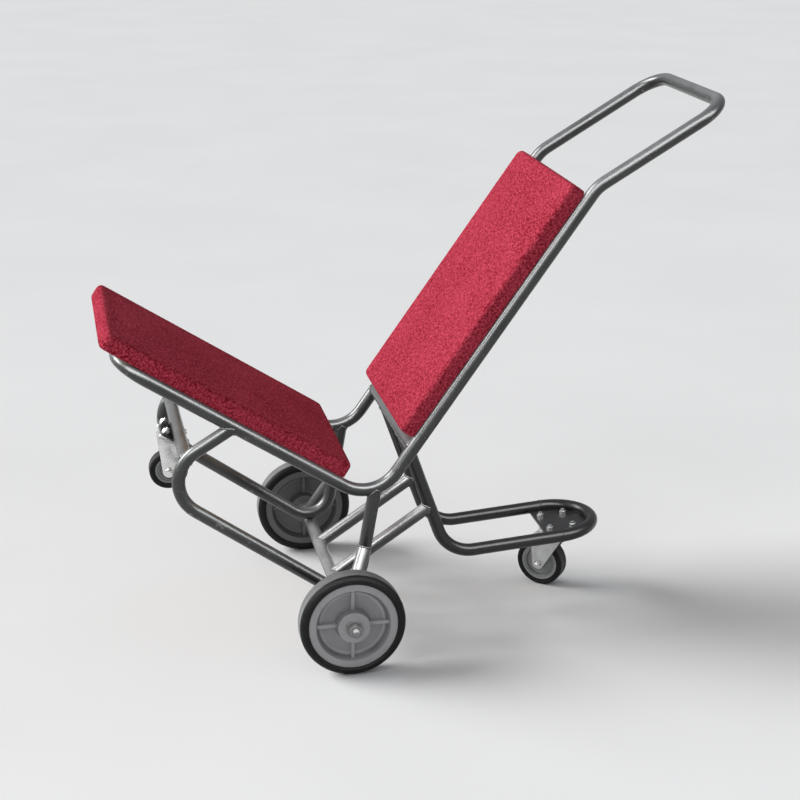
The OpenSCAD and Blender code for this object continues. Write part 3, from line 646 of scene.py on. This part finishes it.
def hex_nut(af, bore, height, chamfer, place):
    """A hexagon nut with chamfered rims and an open bore."""
    bm = bmesh.new()
    bmesh.ops.create_circle(bm, segments=NUT_SIDES, radius=af / math.sqrt(3))
    bmesh.ops.create_circle(bm, segments=NUT_BORE_STEPS, radius=bore)
    bmesh.ops.bridge_loops(bm, edges=bm.edges)
    raised(bm, list(bm.faces), height)
    rims = [
        e for e in bm.edges
        if e.calc_face_angle(0) > RIM_BEND
        and min(v.co.xy.length for v in e.verts) > bore * NUT_BORE_SHARE
        and abs(e.verts[0].co.z - e.verts[1].co.z) < MERGE
    ]
    bevelled(bm, rims, chamfer)
    bmesh.ops.transform(bm, matrix=place, verts=bm.verts)
    return bm


def axle_bm(half, nut_face):
    """A plain axle with a thread on each end outside its nut."""
    count = round((half - nut_face - THREAD_PITCH) / THREAD_PITCH)
    root = AXLE_END_R - THREAD
    end = [(0.0, half), (AXLE_END_R - AXLE_TIP, half), (root, half - AXLE_TIP_H)]
    for i in range(count):
        crest = half - AXLE_TIP_H - (i + 0.5) * THREAD_PITCH
        end += [(AXLE_END_R, crest), (root, crest - THREAD_PITCH / 2)]
    end.append((AXLE_R, nut_face - AXLE_IN_NUT))
    along = Matrix.Translation(AXLE) @ Matrix.Rotation(math.pi / 2, 4, "X")
    return turned(both_faces(end), along, AXLE_STEPS, closed=False)


def make_axle_ends():
    washers = []
    nuts = []
    washer_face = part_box("hub_washers")[1].y
    nut_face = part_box("axle_nuts")[1].y
    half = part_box("axle")[1].y
    washer = [(WASHER_BORE, 0), (WASHER_R, 0), (WASHER_R, WASHER_T), (WASHER_BORE, WASHER_T)]
    washer = softened(washer, WASHER_ROUND, WASHER_ROUND_STEPS)
    for side in (-1, 1):
        for seat in (washer_face - WASHER_T, 2 * WHEEL_Y - washer_face):
            washers.append(turned(washer, on_axle(side, seat), WASHER_STEPS))
        nuts.append(hex_nut(NUT_AF, WASHER_BORE, NUT_H, NUT_CHAMFER, on_axle(side, nut_face - NUT_H)))
    as_piece("hub_washer_set", joined(*washers), WORN_STEEL, "frame", ["hub_washers"])
    as_piece("axle_nut_set", joined(*nuts), WORN_STEEL, "frame", ["axle_nuts"])
    as_piece("threaded_axle", axle_bm(half, nut_face), WORN_STEEL, "frame", ["axle"])


# Casters

FRONT_CASTER_R = 0.0375
REAR_CASTER_W = 0.032
FRONT_CASTER_W = 0.028
REAR_PLATE = (0.070, 0.095)
FRONT_PLATE = (0.060, 0.080)
CASTER_SEAT_GAP = 0.00005
CASTER_SHOULDER = 0.005
CASTER_RIDGE = 0.0004
TOP_PLATE_T = 0.003
PLATE_CORNER = 0.007
FORK_TOP = -0.0083
FORK_T = 0.003
FORK_LEAD = 0.025
FORK_LEAD_H = 0.010
FORK_TAIL_H = 0.016
FORK_EYE_R = 0.012
FORK_EYE_STEPS = 14
FORK_ROOM = 0.003
FORK_BEND = 0.006
FORK_RIM_BEND = math.radians(50)
KINGPIN_HOLE = 0.0062
DRILL_REACH = 0.1
DRILL_STEPS = 32
PIN_R = 0.004
PIN_STEPS = 40
PIN_TIP = 0.001
PIN_PAST_FORK = 0.009
PIN_NECK = 0.001
PIN_SINK = 0.0002
PIN_HEAD_R = 0.0075
PIN_HEAD_H = 0.0045
PIN_SIDE_SHARE = 0.35
PIN_DOME_STEPS = 8
PIN_NUT_AF = 0.013
PIN_NUT_H = 0.0065
PIN_NUT_GAP = 0.0001
PIN_NUT_CHAMFER = 0.0007

# The small core: radii from the axis, then distances inwards from its rim and from the rim's face
SMALL_BORE = 0.00605
SMALL_HUB_R = 0.0105
SMALL_FOOT_R = 0.0118
SMALL_WEB_R = 0.0145
SMALL_WEB_EDGE = 0.0095
SMALL_RING_INNER = 0.0085
SMALL_RING_OUTER = 0.0062
SMALL_GROOVE = 0.0055
SMALL_RIM = 0.0045
SMALL_FOOT_DEPTH = 0.004
SMALL_WEB_DEPTH = 0.0055
SMALL_RING_DEPTH = 0.0015
SMALL_GROOVE_DEPTH = 0.003
SMALL_RIM_INSET = 0.002
SMALL_HUB_GAP = 0.0003
SMALL_ROUND = 0.0006
SMALL_ROUND_STEPS = 2
SMALL_STEPS = 72

# A slab's outline, drawn flat, stands up as a section across X or as a view along Y
SECTION_ACROSS_X = Matrix(((0, 0, 1, 0), (1, 0, 0, 0), (0, 1, 0, 0), (0, 0, 0, 1)))
VIEW_ALONG_Y = Matrix(((1, 0, 0, 0), (0, 0, -1, 0), (0, 1, 0, 0), (0, 0, 0, 1)))


def swivel_frame(joint, ahead):
    """A frame on a swivel axis: Z up the axis, X as near as can be to a direction."""
    up = Vector(joint["axis"]).normalized()
    along = (ahead - up * ahead.dot(up)).normalized()
    turn = Matrix((along, up.cross(along), up)).transposed().to_4x4()
    return Matrix.Translation(joint["pos_m"]) @ turn


class Caster:
    """Where one caster is and how large its wheel is; the wheel trails along X of its place."""

    def __init__(self, name, wheel_r, width, plate, finish):
        swivel = joints[f"{name}_swivel"]
        hub = Vector(joints[f"{name}_wheel_spin"]["pos_m"])
        self.name = name
        self.wheel_r = wheel_r
        self.core_r = wheel_r - CASTER_RUBBER
        self.width = width
        self.plate = plate
        self.finish = finish
        self.place = swivel_frame(swivel, hub - Vector(swivel["pos_m"]))
        self.plate_place = swivel_frame(swivel, Vector((1, 0, 0)))
        local_hub = self.place.inverted() @ hub
        self.trail = local_hub.x
        self.hub_z = local_hub.z
        self.fork_inner = width / 2 + FORK_ROOM
        self.fork_outer = self.fork_inner + FORK_T
        self.hub = self.place @ Matrix.Translation(local_hub) @ Matrix.Rotation(math.pi / 2, 4, "X")


CASTERS = (
    Caster("rear", REAR_CASTER_R, REAR_CASTER_W, REAR_PLATE, ZINC),
    Caster("front", FRONT_CASTER_R, FRONT_CASTER_W, FRONT_PLATE, BRIGHT_ZINC),
)


def fork_channel(caster):
    """The sheet bent to an arch with round shoulders, as long as the fork."""
    outer = caster.fork_outer
    inner = caster.fork_inner
    foot = caster.hub_z - FORK_EYE_R
    under = FORK_TOP - FORK_T
    outside = [(-outer, foot), (-outer, FORK_TOP), (outer, FORK_TOP), (outer, foot)]
    inside = [(inner, foot), (inner, under), (-inner, under), (-inner, foot)]
    arch = softened(outside, FORK_BEND, CORNER_STEPS, closed=False)
    arch += softened(inside, FORK_BEND - FORK_T, CORNER_STEPS, closed=False)
    length = caster.trail + FORK_EYE_R + FORK_LEAD
    return slab(arch, length, Matrix.Translation((-FORK_LEAD, 0, 0)) @ SECTION_ACROSS_X)


def fork_side(caster):
    """The fork's outline from the side, round at the wheel's bolt, as a slab wider than the fork."""
    eye = Vector((caster.trail, caster.hub_z))
    lead = Vector((-FORK_LEAD, FORK_TOP - FORK_LEAD_H))
    above = FORK_TOP + FORK_T
    to_eye = eye - lead
    slope = math.atan2(to_eye.y, to_eye.x) - math.asin(FORK_EYE_R / to_eye.length)
    touch = math.degrees(slope) - 90
    outline = [(-FORK_LEAD, above), lead]
    outline += arc(eye, FORK_EYE_R, touch, 0, FORK_EYE_STEPS)
    outline += [(eye.x + FORK_EYE_R, FORK_TOP - FORK_TAIL_H), (FORK_LEAD, above)]
    wide = 2 * caster.fork_outer
    return slab(outline, 2 * wide, Matrix.Translation((0, wide, 0)) @ VIEW_ALONG_Y)


def fork_bm(caster):
    """A fork pressed from one sheet, with a hole for the kingpin."""
    bm = carved(fork_channel(caster), fork_side(caster), "INTERSECT")
    drill = [(0, -DRILL_REACH), (KINGPIN_HOLE, -DRILL_REACH), (KINGPIN_HOLE, DRILL_REACH), (0, DRILL_REACH)]
    bm = carved(bm, turned(drill, Matrix(), DRILL_STEPS, closed=False), "DIFFERENCE")
    rims = [e for e in bm.edges if e.is_manifold and e.calc_face_angle(0) > FORK_RIM_BEND]
    bevelled(bm, rims, SHEET_ROUND)
    bmesh.ops.transform(bm, matrix=caster.place, verts=bm.verts)
    return bm


def caster_tyre_bm(caster):
    seat_r = caster.core_r + CASTER_SEAT_GAP
    ridge_r = caster.wheel_r - CASTER_RUBBER / 2
    half = caster.width / 2
    return tyre_bm(caster.hub, seat_r, caster.wheel_r, half, CASTER_SHOULDER, ridge_r, CASTER_RIDGE)


def caster_core_bm(caster):
    """A small core: hub, sunk web with a ring, and a rim with a groove."""
    seat = caster.core_r
    face = caster.width / 2 - SMALL_RIM_INSET
    hub_face = caster.fork_inner - SMALL_HUB_GAP
    half = [
        (SMALL_BORE, hub_face),
        (SMALL_HUB_R, hub_face),
        (SMALL_FOOT_R, face - SMALL_FOOT_DEPTH),
        (SMALL_WEB_R, face - SMALL_WEB_DEPTH),
        (seat - SMALL_WEB_EDGE, face - SMALL_WEB_DEPTH),
        (seat - SMALL_RING_INNER, face - SMALL_RING_DEPTH),
        (seat - SMALL_RING_OUTER, face - SMALL_RING_DEPTH),
        (seat - SMALL_GROOVE, face - SMALL_GROOVE_DEPTH),
        (seat - SMALL_RIM, face),
        (seat, face),
    ]
    return turned(softened(both_faces(half), SMALL_ROUND, SMALL_ROUND_STEPS), caster.hub, SMALL_STEPS)


def pin_bm(caster):
    """The wheel's bolt: a domed head on one side, a lock nut on the other."""
    half = caster.fork_outer
    tip = -2 * half - PIN_PAST_FORK
    side_h = PIN_HEAD_H * PIN_SIDE_SHARE
    profile = [(0.0, tip), (PIN_R - PIN_TIP, tip), (PIN_R, tip + PIN_TIP)]
    profile += [(PIN_R, -PIN_NECK), (PIN_HEAD_R, -PIN_SINK), (PIN_HEAD_R, side_h)]
    for i in range(1, PIN_DOME_STEPS + 1):
        rise = math.pi / 2 * i / PIN_DOME_STEPS
        profile.append((PIN_HEAD_R * math.cos(rise), side_h + (PIN_HEAD_H - side_h) * math.sin(rise)))
    bolt = turned(profile, caster.hub @ Matrix.Translation((0, 0, half)), PIN_STEPS, closed=False)
    under = caster.hub @ Matrix.Translation((0, 0, -half)) @ Matrix.Rotation(math.pi, 4, "X")
    return joined(bolt, hex_nut(PIN_NUT_AF, PIN_R + PIN_NUT_GAP, PIN_NUT_H, PIN_NUT_CHAMFER, under))


def top_plate_bm(caster):
    """A flat plate with round corners and soft rims."""
    half_x, half_y = (side / 2 for side in caster.plate)
    outline = softened(rectangle(half_x, half_y), PLATE_CORNER, CORNER_STEPS)
    under = Matrix.Translation((0, 0, -TOP_PLATE_T))
    return slab(outline, TOP_PLATE_T, caster.plate_place @ under, SHEET_ROUND)


def make_casters():
    for caster in CASTERS:
        name = caster.name
        wheel = f"{name}_caster_wheel"
        fork = f"{name}_fork"
        rubber = tyre_rubber(f"{name}_caster_rubber", caster.wheel_r, CASTER_DUST)
        tyre = caster_tyre_bm(caster)
        core = caster_core_bm(caster)
        as_piece(f"{name}_caster_rubber", tyre, rubber, wheel, [f"{name}_caster_tyre"])
        as_piece(f"{name}_caster_hub", core, CASTER_GREY, wheel, [f"{name}_caster_core"])
        as_piece(f"{name}_pressed_fork", fork_bm(caster), caster.finish, fork, [f"{name}_fork"])
        as_piece(f"{name}_wheel_pin", pin_bm(caster), BRIGHT_ZINC, fork, [f"{name}_axle_bolt"])
        as_piece(f"{name}_plate", top_plate_bm(caster), caster.finish, "frame", [f"{name}_top_plate"])


# Pads: carpet over foam, blown up by a cloth simulation and recessed underneath for the board

PAD_CORNER = 0.016
PAD_CORNER_STEPS = 8
PAD_EDGE = 0.009
PAD_EDGE_STEPS = 5
PAD_TRIM = 0.012
PAD_VOXEL = 0.005
PAD_PRESSURE = 4.0
PAD_FRAMES = 20
PAD_QUALITY = 5
PAD_SWELL = 0.005
PAD_OVER = 0.003
PAD_CROWN = 0.004
PAD_HOLD = 0.050
PAD_PILE = 0.00035
PAD_PILE_SCALE = 300.0
FOLD_DEPTH = 0.0016
FOLD_WIDTH = 0.0035
FOLD_FROM_CORNER = 0.019
FOLD_END_SHARE = 0.6
BOARD_GAP = 0.0002


def local_box(node, turn):
    """The lowest and highest corner of a node in a turned frame."""
    inverse = turn.inverted()
    points = [inverse @ v.co for v in frame["nodes"][node].data.vertices]
    low = Vector([min(p[i] for p in points) for i in range(3)])
    high = Vector([max(p[i] for p in points) for i in range(3)])
    return low, high


def pad_blank(low, high):
    """The pad before it swells: round corners, soft top edges, and a foot below its rest plane."""
    size = high - low + Vector((2 * PAD_OVER, 2 * PAD_OVER, PAD_TRIM - PAD_CROWN))
    outline = softened(rectangle(size.x / 2, size.y / 2), PAD_CORNER, PAD_CORNER_STEPS)
    middle = (low + high) / 2
    bm = slab(outline, size.z, Matrix.Translation((middle.x, middle.y, low.z - PAD_TRIM)))
    top = [e for e in bm.edges if min(v.co.z for v in e.verts) > high.z - PAD_CROWN - MERGE]
    bevelled(bm, top, PAD_EDGE, PAD_EDGE_STEPS)
    return bm


def remeshed(obj):
    """An even mesh, as cloth needs."""
    remesh = obj.modifiers.new("Remesh", "REMESH")
    remesh.mode = "VOXEL"
    remesh.voxel_size = PAD_VOXEL
    even = applied(obj)
    obj.modifiers.remove(remesh)
    obj.data = even


def swollen(obj, low, high):
    """Cloth under pressure, held at its sides and freed towards the middle of its top; no point moves far."""
    pins = obj.vertex_groups.new(name="held")
    for vert in obj.data.vertices:
        inset = min(vert.co.x - low.x, high.x - vert.co.x, vert.co.y - low.y, high.y - vert.co.y)
        on_top = vert.co.z > high.z - PAD_CROWN - PAD_EDGE
        hold = max(0.0, 1.0 - inset / PAD_HOLD) if on_top else 1.0
        pins.add([vert.index], hold, "REPLACE")
    cloth = obj.modifiers.new("Cloth", "CLOTH")
    cloth.settings.quality = PAD_QUALITY
    cloth.settings.vertex_group_mass = "held"
    cloth.settings.pin_stiffness = 1.0
    cloth.settings.use_pressure = True
    cloth.settings.uniform_pressure_force = PAD_PRESSURE
    cloth.settings.effector_weights.gravity = 0
    start = [v.co.copy() for v in obj.data.vertices]
    for step in range(1, PAD_FRAMES + 1):
        scene.frame_set(step)
    blown = applied(obj)
    obj.modifiers.remove(cloth)
    for vert, before, after in zip(obj.data.vertices, start, blown.vertices):
        move = after.co - before
        vert.co = before + move * min(1.0, PAD_SWELL / max(move.length, MERGE))
    bpy.data.meshes.remove(blown)
    scene.frame_set(1)


def fold_depth(point, low, high):
    """Depth of the tucks where the carpet is folded at the corners of the pad's two ends."""
    end = min(point.x - low.x, high.x - point.x)
    if end > PAD_CORNER * FOLD_END_SHARE:
        return 0.0
    across = abs(abs(point.y) - (high.y - FOLD_FROM_CORNER))
    height = (point.z - low.z) / (high.z - low.z)
    return FOLD_DEPTH * math.exp(-((across / FOLD_WIDTH) ** 2)) * max(0.0, 1.0 - height)


def carpeted(obj, low, high):
    """The pad's fine surface as a bmesh, with its tucks and the unevenness of the pile."""
    fine = obj.modifiers.new("Subdivision", "SUBSURF")
    fine.levels = 1
    fine.render_levels = 1
    bm = bmesh.new()
    bm.from_mesh(applied(obj))
    bm.normal_update()
    for vert in bm.verts:
        tuck = fold_depth(vert.co, low, high)
        pile = noise.noise(vert.co * PAD_PILE_SCALE) * PAD_PILE
        vert.co += vert.normal * (pile - tuck)
    return bm


def close_underside(bm, rest_z, board_low, board_high):
    """Cuts the pad flat at its rest plane and closes it there, with a recess for the board."""
    bmesh.ops.triangulate(bm, faces=bm.faces)
    whole = bm.verts[:] + bm.edges[:] + bm.faces[:]
    bmesh.ops.bisect_plane(
        bm, geom=whole, dist=MERGE, plane_co=(0, 0, rest_z), plane_no=(0, 0, -1), clear_outer=True
    )
    rim = [e for e in bm.edges if e.is_boundary]
    middle = (board_low + board_high) / 2
    room = (board_high - board_low) / 2 + Vector((BOARD_GAP, BOARD_GAP, BOARD_GAP))
    mouth = [bm.verts.new((middle.x + x, middle.y + y, rest_z)) for x, y in rectangle(room.x, room.y)]
    lip = [bm.edges.new((mouth[i - 1], mouth[i])) for i in range(len(mouth))]
    walls = bmesh.ops.extrude_edge_only(bm, edges=lip)["geom"]
    top = [v for v in walls if isinstance(v, bmesh.types.BMVert)]
    bmesh.ops.translate(bm, vec=(0, 0, middle.z + room.z - rest_z), verts=top)
    wall_edges = [e for e in walls if isinstance(e, bmesh.types.BMEdge)]
    bmesh.ops.contextual_create(bm, geom=[e for e in wall_edges if e.is_boundary])
    bmesh.ops.triangle_fill(bm, use_beauty=True, edges=rim + lip)


def make_pad(node, board, turn):
    name = node.replace("_pad", "_cushion")
    low, high = local_box(node, turn)
    blank = pad_blank(low, high)
    mesh = bpy.data.meshes.new(name)
    blank.to_mesh(mesh)
    blank.free()
    obj = bpy.data.objects.new(name, mesh)
    scene.collection.objects.link(obj)
    remeshed(obj)
    swollen(obj, low, high)
    bm = carpeted(obj, low, high)
    bpy.data.objects.remove(obj)
    close_underside(bm, low.z, *local_box(board, turn))
    bmesh.ops.transform(bm, matrix=turn, verts=bm.verts)
    cushion = as_piece(name, bm, CARPET, "frame", [node])


# Welds: a rippled bead along the rim of each tube end that is set on another tube

BEAD_R = 0.0022
RING_R = 0.0012
BEAD_RIPPLE = 0.22
BEAD_PITCH = 0.0032
BEAD_POINTS = 4
BEAD_RESOLUTION = 3
SADDLE_DEPTH = 0.0008
RIM_MERGE = 1e-5
RIM_LEAST = 4 * TUBE_R
TUBE_END_BEND = math.radians(28)


def flatness(points):
    """How far a closed line leaves its own plane."""
    middle = sum(points, Vector()) / len(points)
    third = len(points) // 3
    normal = (points[0] - middle).cross(points[third] - middle).normalized()
    return max(abs((p - middle).dot(normal)) for p in points)


def is_saddle(points):
    """A rim that is cut to fit round another tube."""
    return flatness(points) > SADDLE_DEPTH


def is_bow_end(points):
    """A flat rim at the front end of the rear bow, where it is butted to the arms."""
    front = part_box("rear_bow")[0].x
    return max(p.x for p in points) < front + TUBE_R


def walked(edge, left):
    """The line of vertices through an edge, both ways along the edges that are left, which it uses up."""
    line = list(edge.verts)
    for end in (-1, 0):
        while True:
            onward = next((e for e in line[end].link_edges if e.index in left), None)
            if onward is None:
                break
            del left[onward.index]
            line.insert(len(line) if end else 0, onward.other_vert(line[end]))
    return line


def tube_end_rims(node, wanted=is_saddle):
    """The wanted rims at a tube's ends, as lists of points; each end gives only its outer rim."""
    bm = bmesh.new()
    bm.from_mesh(frame["nodes"][node].data)
    bmesh.ops.remove_doubles(bm, verts=bm.verts, dist=RIM_MERGE)
    bm.edges.index_update()
    sharp = {e.index: e for e in bm.edges if e.is_manifold and e.calc_face_angle(0) > TUBE_END_BEND}
    rims = []
    while sharp:
        points = [v.co.copy() for v in walked(sharp.pop(min(sharp)), sharp)]
        length = sum((a - b).length for a, b in zip(points, points[1:]))
        if length > RIM_LEAST and wanted(points):
            rims.append((length, points))
    bm.free()
    outer = []
    for _, points in sorted(rims, key=lambda rim: -rim[0]):
        middle = sum(points, Vector()) / len(points)
        if all((middle - other).length > TUBE_R for other, _ in outer):
            outer.append((middle, points))
    return [points for _, points in outer]


def evenly(points, pitch):
    """The same line with points a pitch apart."""
    spaced = [points[0]]
    left = pitch
    for a, b in zip(points, points[1:]):
        step = (b - a).length
        at = left
        while at <= step:
            spaced.append(a.lerp(b, at / step))
            at += pitch
        left = at - step
    return spaced


def make_bead(name, points, material, radius=BEAD_R):
    """A rippled bead along a closed line."""
    path = evenly(points, BEAD_PITCH / BEAD_POINTS)
    curve = bpy.data.curves.new(name, "CURVE")
    curve.dimensions = "3D"
    curve.bevel_depth = radius
    curve.bevel_resolution = BEAD_RESOLUTION
    spline = curve.splines.new("POLY")
    spline.points.add(len(path) - 1)
    spline.use_cyclic_u = True
    for i, (point, place) in enumerate(zip(spline.points, path)):
        point.co = (*place, 1)
        point.radius = 1 - BEAD_RIPPLE * abs(math.sin(math.pi * i / BEAD_POINTS))
    maker = bpy.data.objects.new(name, curve)
    scene.collection.objects.link(maker)
    mesh = applied(maker)
    bpy.data.objects.remove(maker)
    bm = bmesh.new()
    bm.from_mesh(mesh)
    bpy.data.meshes.remove(mesh)
    bmesh.ops.remove_doubles(bm, verts=bm.verts, dist=MERGE)
    as_piece(name, bm, material, "frame")


def make_welds():
    """Beads on the left side's saddles and their mirror images, on the cross tubes and on the rear bow."""
    side_tubes = {
        "stay": WELD_STEEL, "outrigger": WELD_STEEL, "lower_loop": WELD_STEEL, "rear_leg": BLACK_WELD,
    }
    for tube, finish in side_tubes.items():
        for i, rim in enumerate(tube_end_rims(f"left_{tube}")):
            mirrored = [Vector((p.x, -p.y, p.z)) for p in rim]
            make_bead(f"weld_left_{tube}_{i}", rim, finish)
            make_bead(f"weld_right_{tube}_{i}", mirrored, finish)
    for tube in ("front_cross_tube", "back_cross_tube"):
        for i, rim in enumerate(tube_end_rims(tube)):
            make_bead(f"weld_{tube}_{i}", rim, WELD_STEEL)
    for i, rim in enumerate(tube_end_rims("rear_bow", is_bow_end)):
        make_bead(f"weld_rear_bow_{i}", rim, BLACK_PAINT, RING_R)


# Stage, light and camera

FLOOR_HALF = 30
SKY_COLOUR = (0.95, 0.97, 1.0, 1)
SKY_STRENGTH = 0.31
LIGHT_AIM = Vector((0, 0, 0.5))


def make_stage():
    bm = bmesh.new()
    bmesh.ops.create_grid(bm, x_segments=1, y_segments=1, size=FLOOR_HALF)
    mesh = bpy.data.meshes.new("floor")
    bm.to_mesh(mesh)
    bm.free()
    mesh.materials.append(pale_floor("pale_floor"))
    floor = bpy.data.objects.new("floor", mesh)
    scene.collection.objects.link(floor)
    world = bpy.data.worlds.new("studio")
    scene.world = world
    world.use_nodes = True
    background = world.node_tree.nodes["Background"]
    background.inputs["Color"].default_value = SKY_COLOUR
    background.inputs["Strength"].default_value = SKY_STRENGTH


def add_light(kind, name, place, power, **settings):
    """A light that points from its place to the middle of the trolley."""
    data = bpy.data.lights.new(name, kind)
    data.energy = power
    for key, value in settings.items():
        setattr(data, key, value)
    light = bpy.data.objects.new(name, data)
    light.location = place
    light.rotation_euler = (LIGHT_AIM - Vector(place)).to_track_quat("-Z", "Y").to_euler()
    scene.collection.objects.link(light)
    return light


def make_lights():
    """A broad sun, a small fill, and a strip that shows only in highlights."""
    add_light("SUN", "key_over_seat", (-2.7, 1.0, 2.3), 3.4, angle=math.radians(34))
    add_light("AREA", "soft_left", (-2.4, -2.4, 2.6), 13, shape="RECTANGLE", size=0.9, size_y=0.9)
    strip = add_light("AREA", "front_strip", (0, -2.0, 2.6), 260, shape="RECTANGLE", size=7, size_y=1.5)
    strip.visible_diffuse = False


def make_camera():
    data = bpy.data.cameras.new("camera")
    data.sensor_width = CAMERA_SENSOR
    data.lens = CAMERA_LENS
    data.dof.use_dof = False
    camera = bpy.data.objects.new("camera", data)
    forward = CAMERA_FORWARD.normalized()
    right = (CAMERA_RIGHT - forward * CAMERA_RIGHT.dot(forward)).normalized()
    turn = Matrix((right, right.cross(forward), -forward)).transposed().to_4x4()
    camera.matrix_world = Matrix.Translation(AXLE + CAMERA_FROM_AXLE) @ turn
    scene.collection.objects.link(camera)
    scene.camera = camera
    scene.view_settings.view_transform = "Standard"


finish_cad_nodes()
make_camera()
make_stage()
make_lights()
make_large_wheels()
make_axle_ends()
make_casters()
make_pad("seat_pad", "seat_board", Matrix.Rotation(SEAT_ANGLE, 4, "Y"))
make_pad("back_pad", "back_board", Matrix.Rotation(-BACK_ANGLE, 4, "Y"))
make_welds()
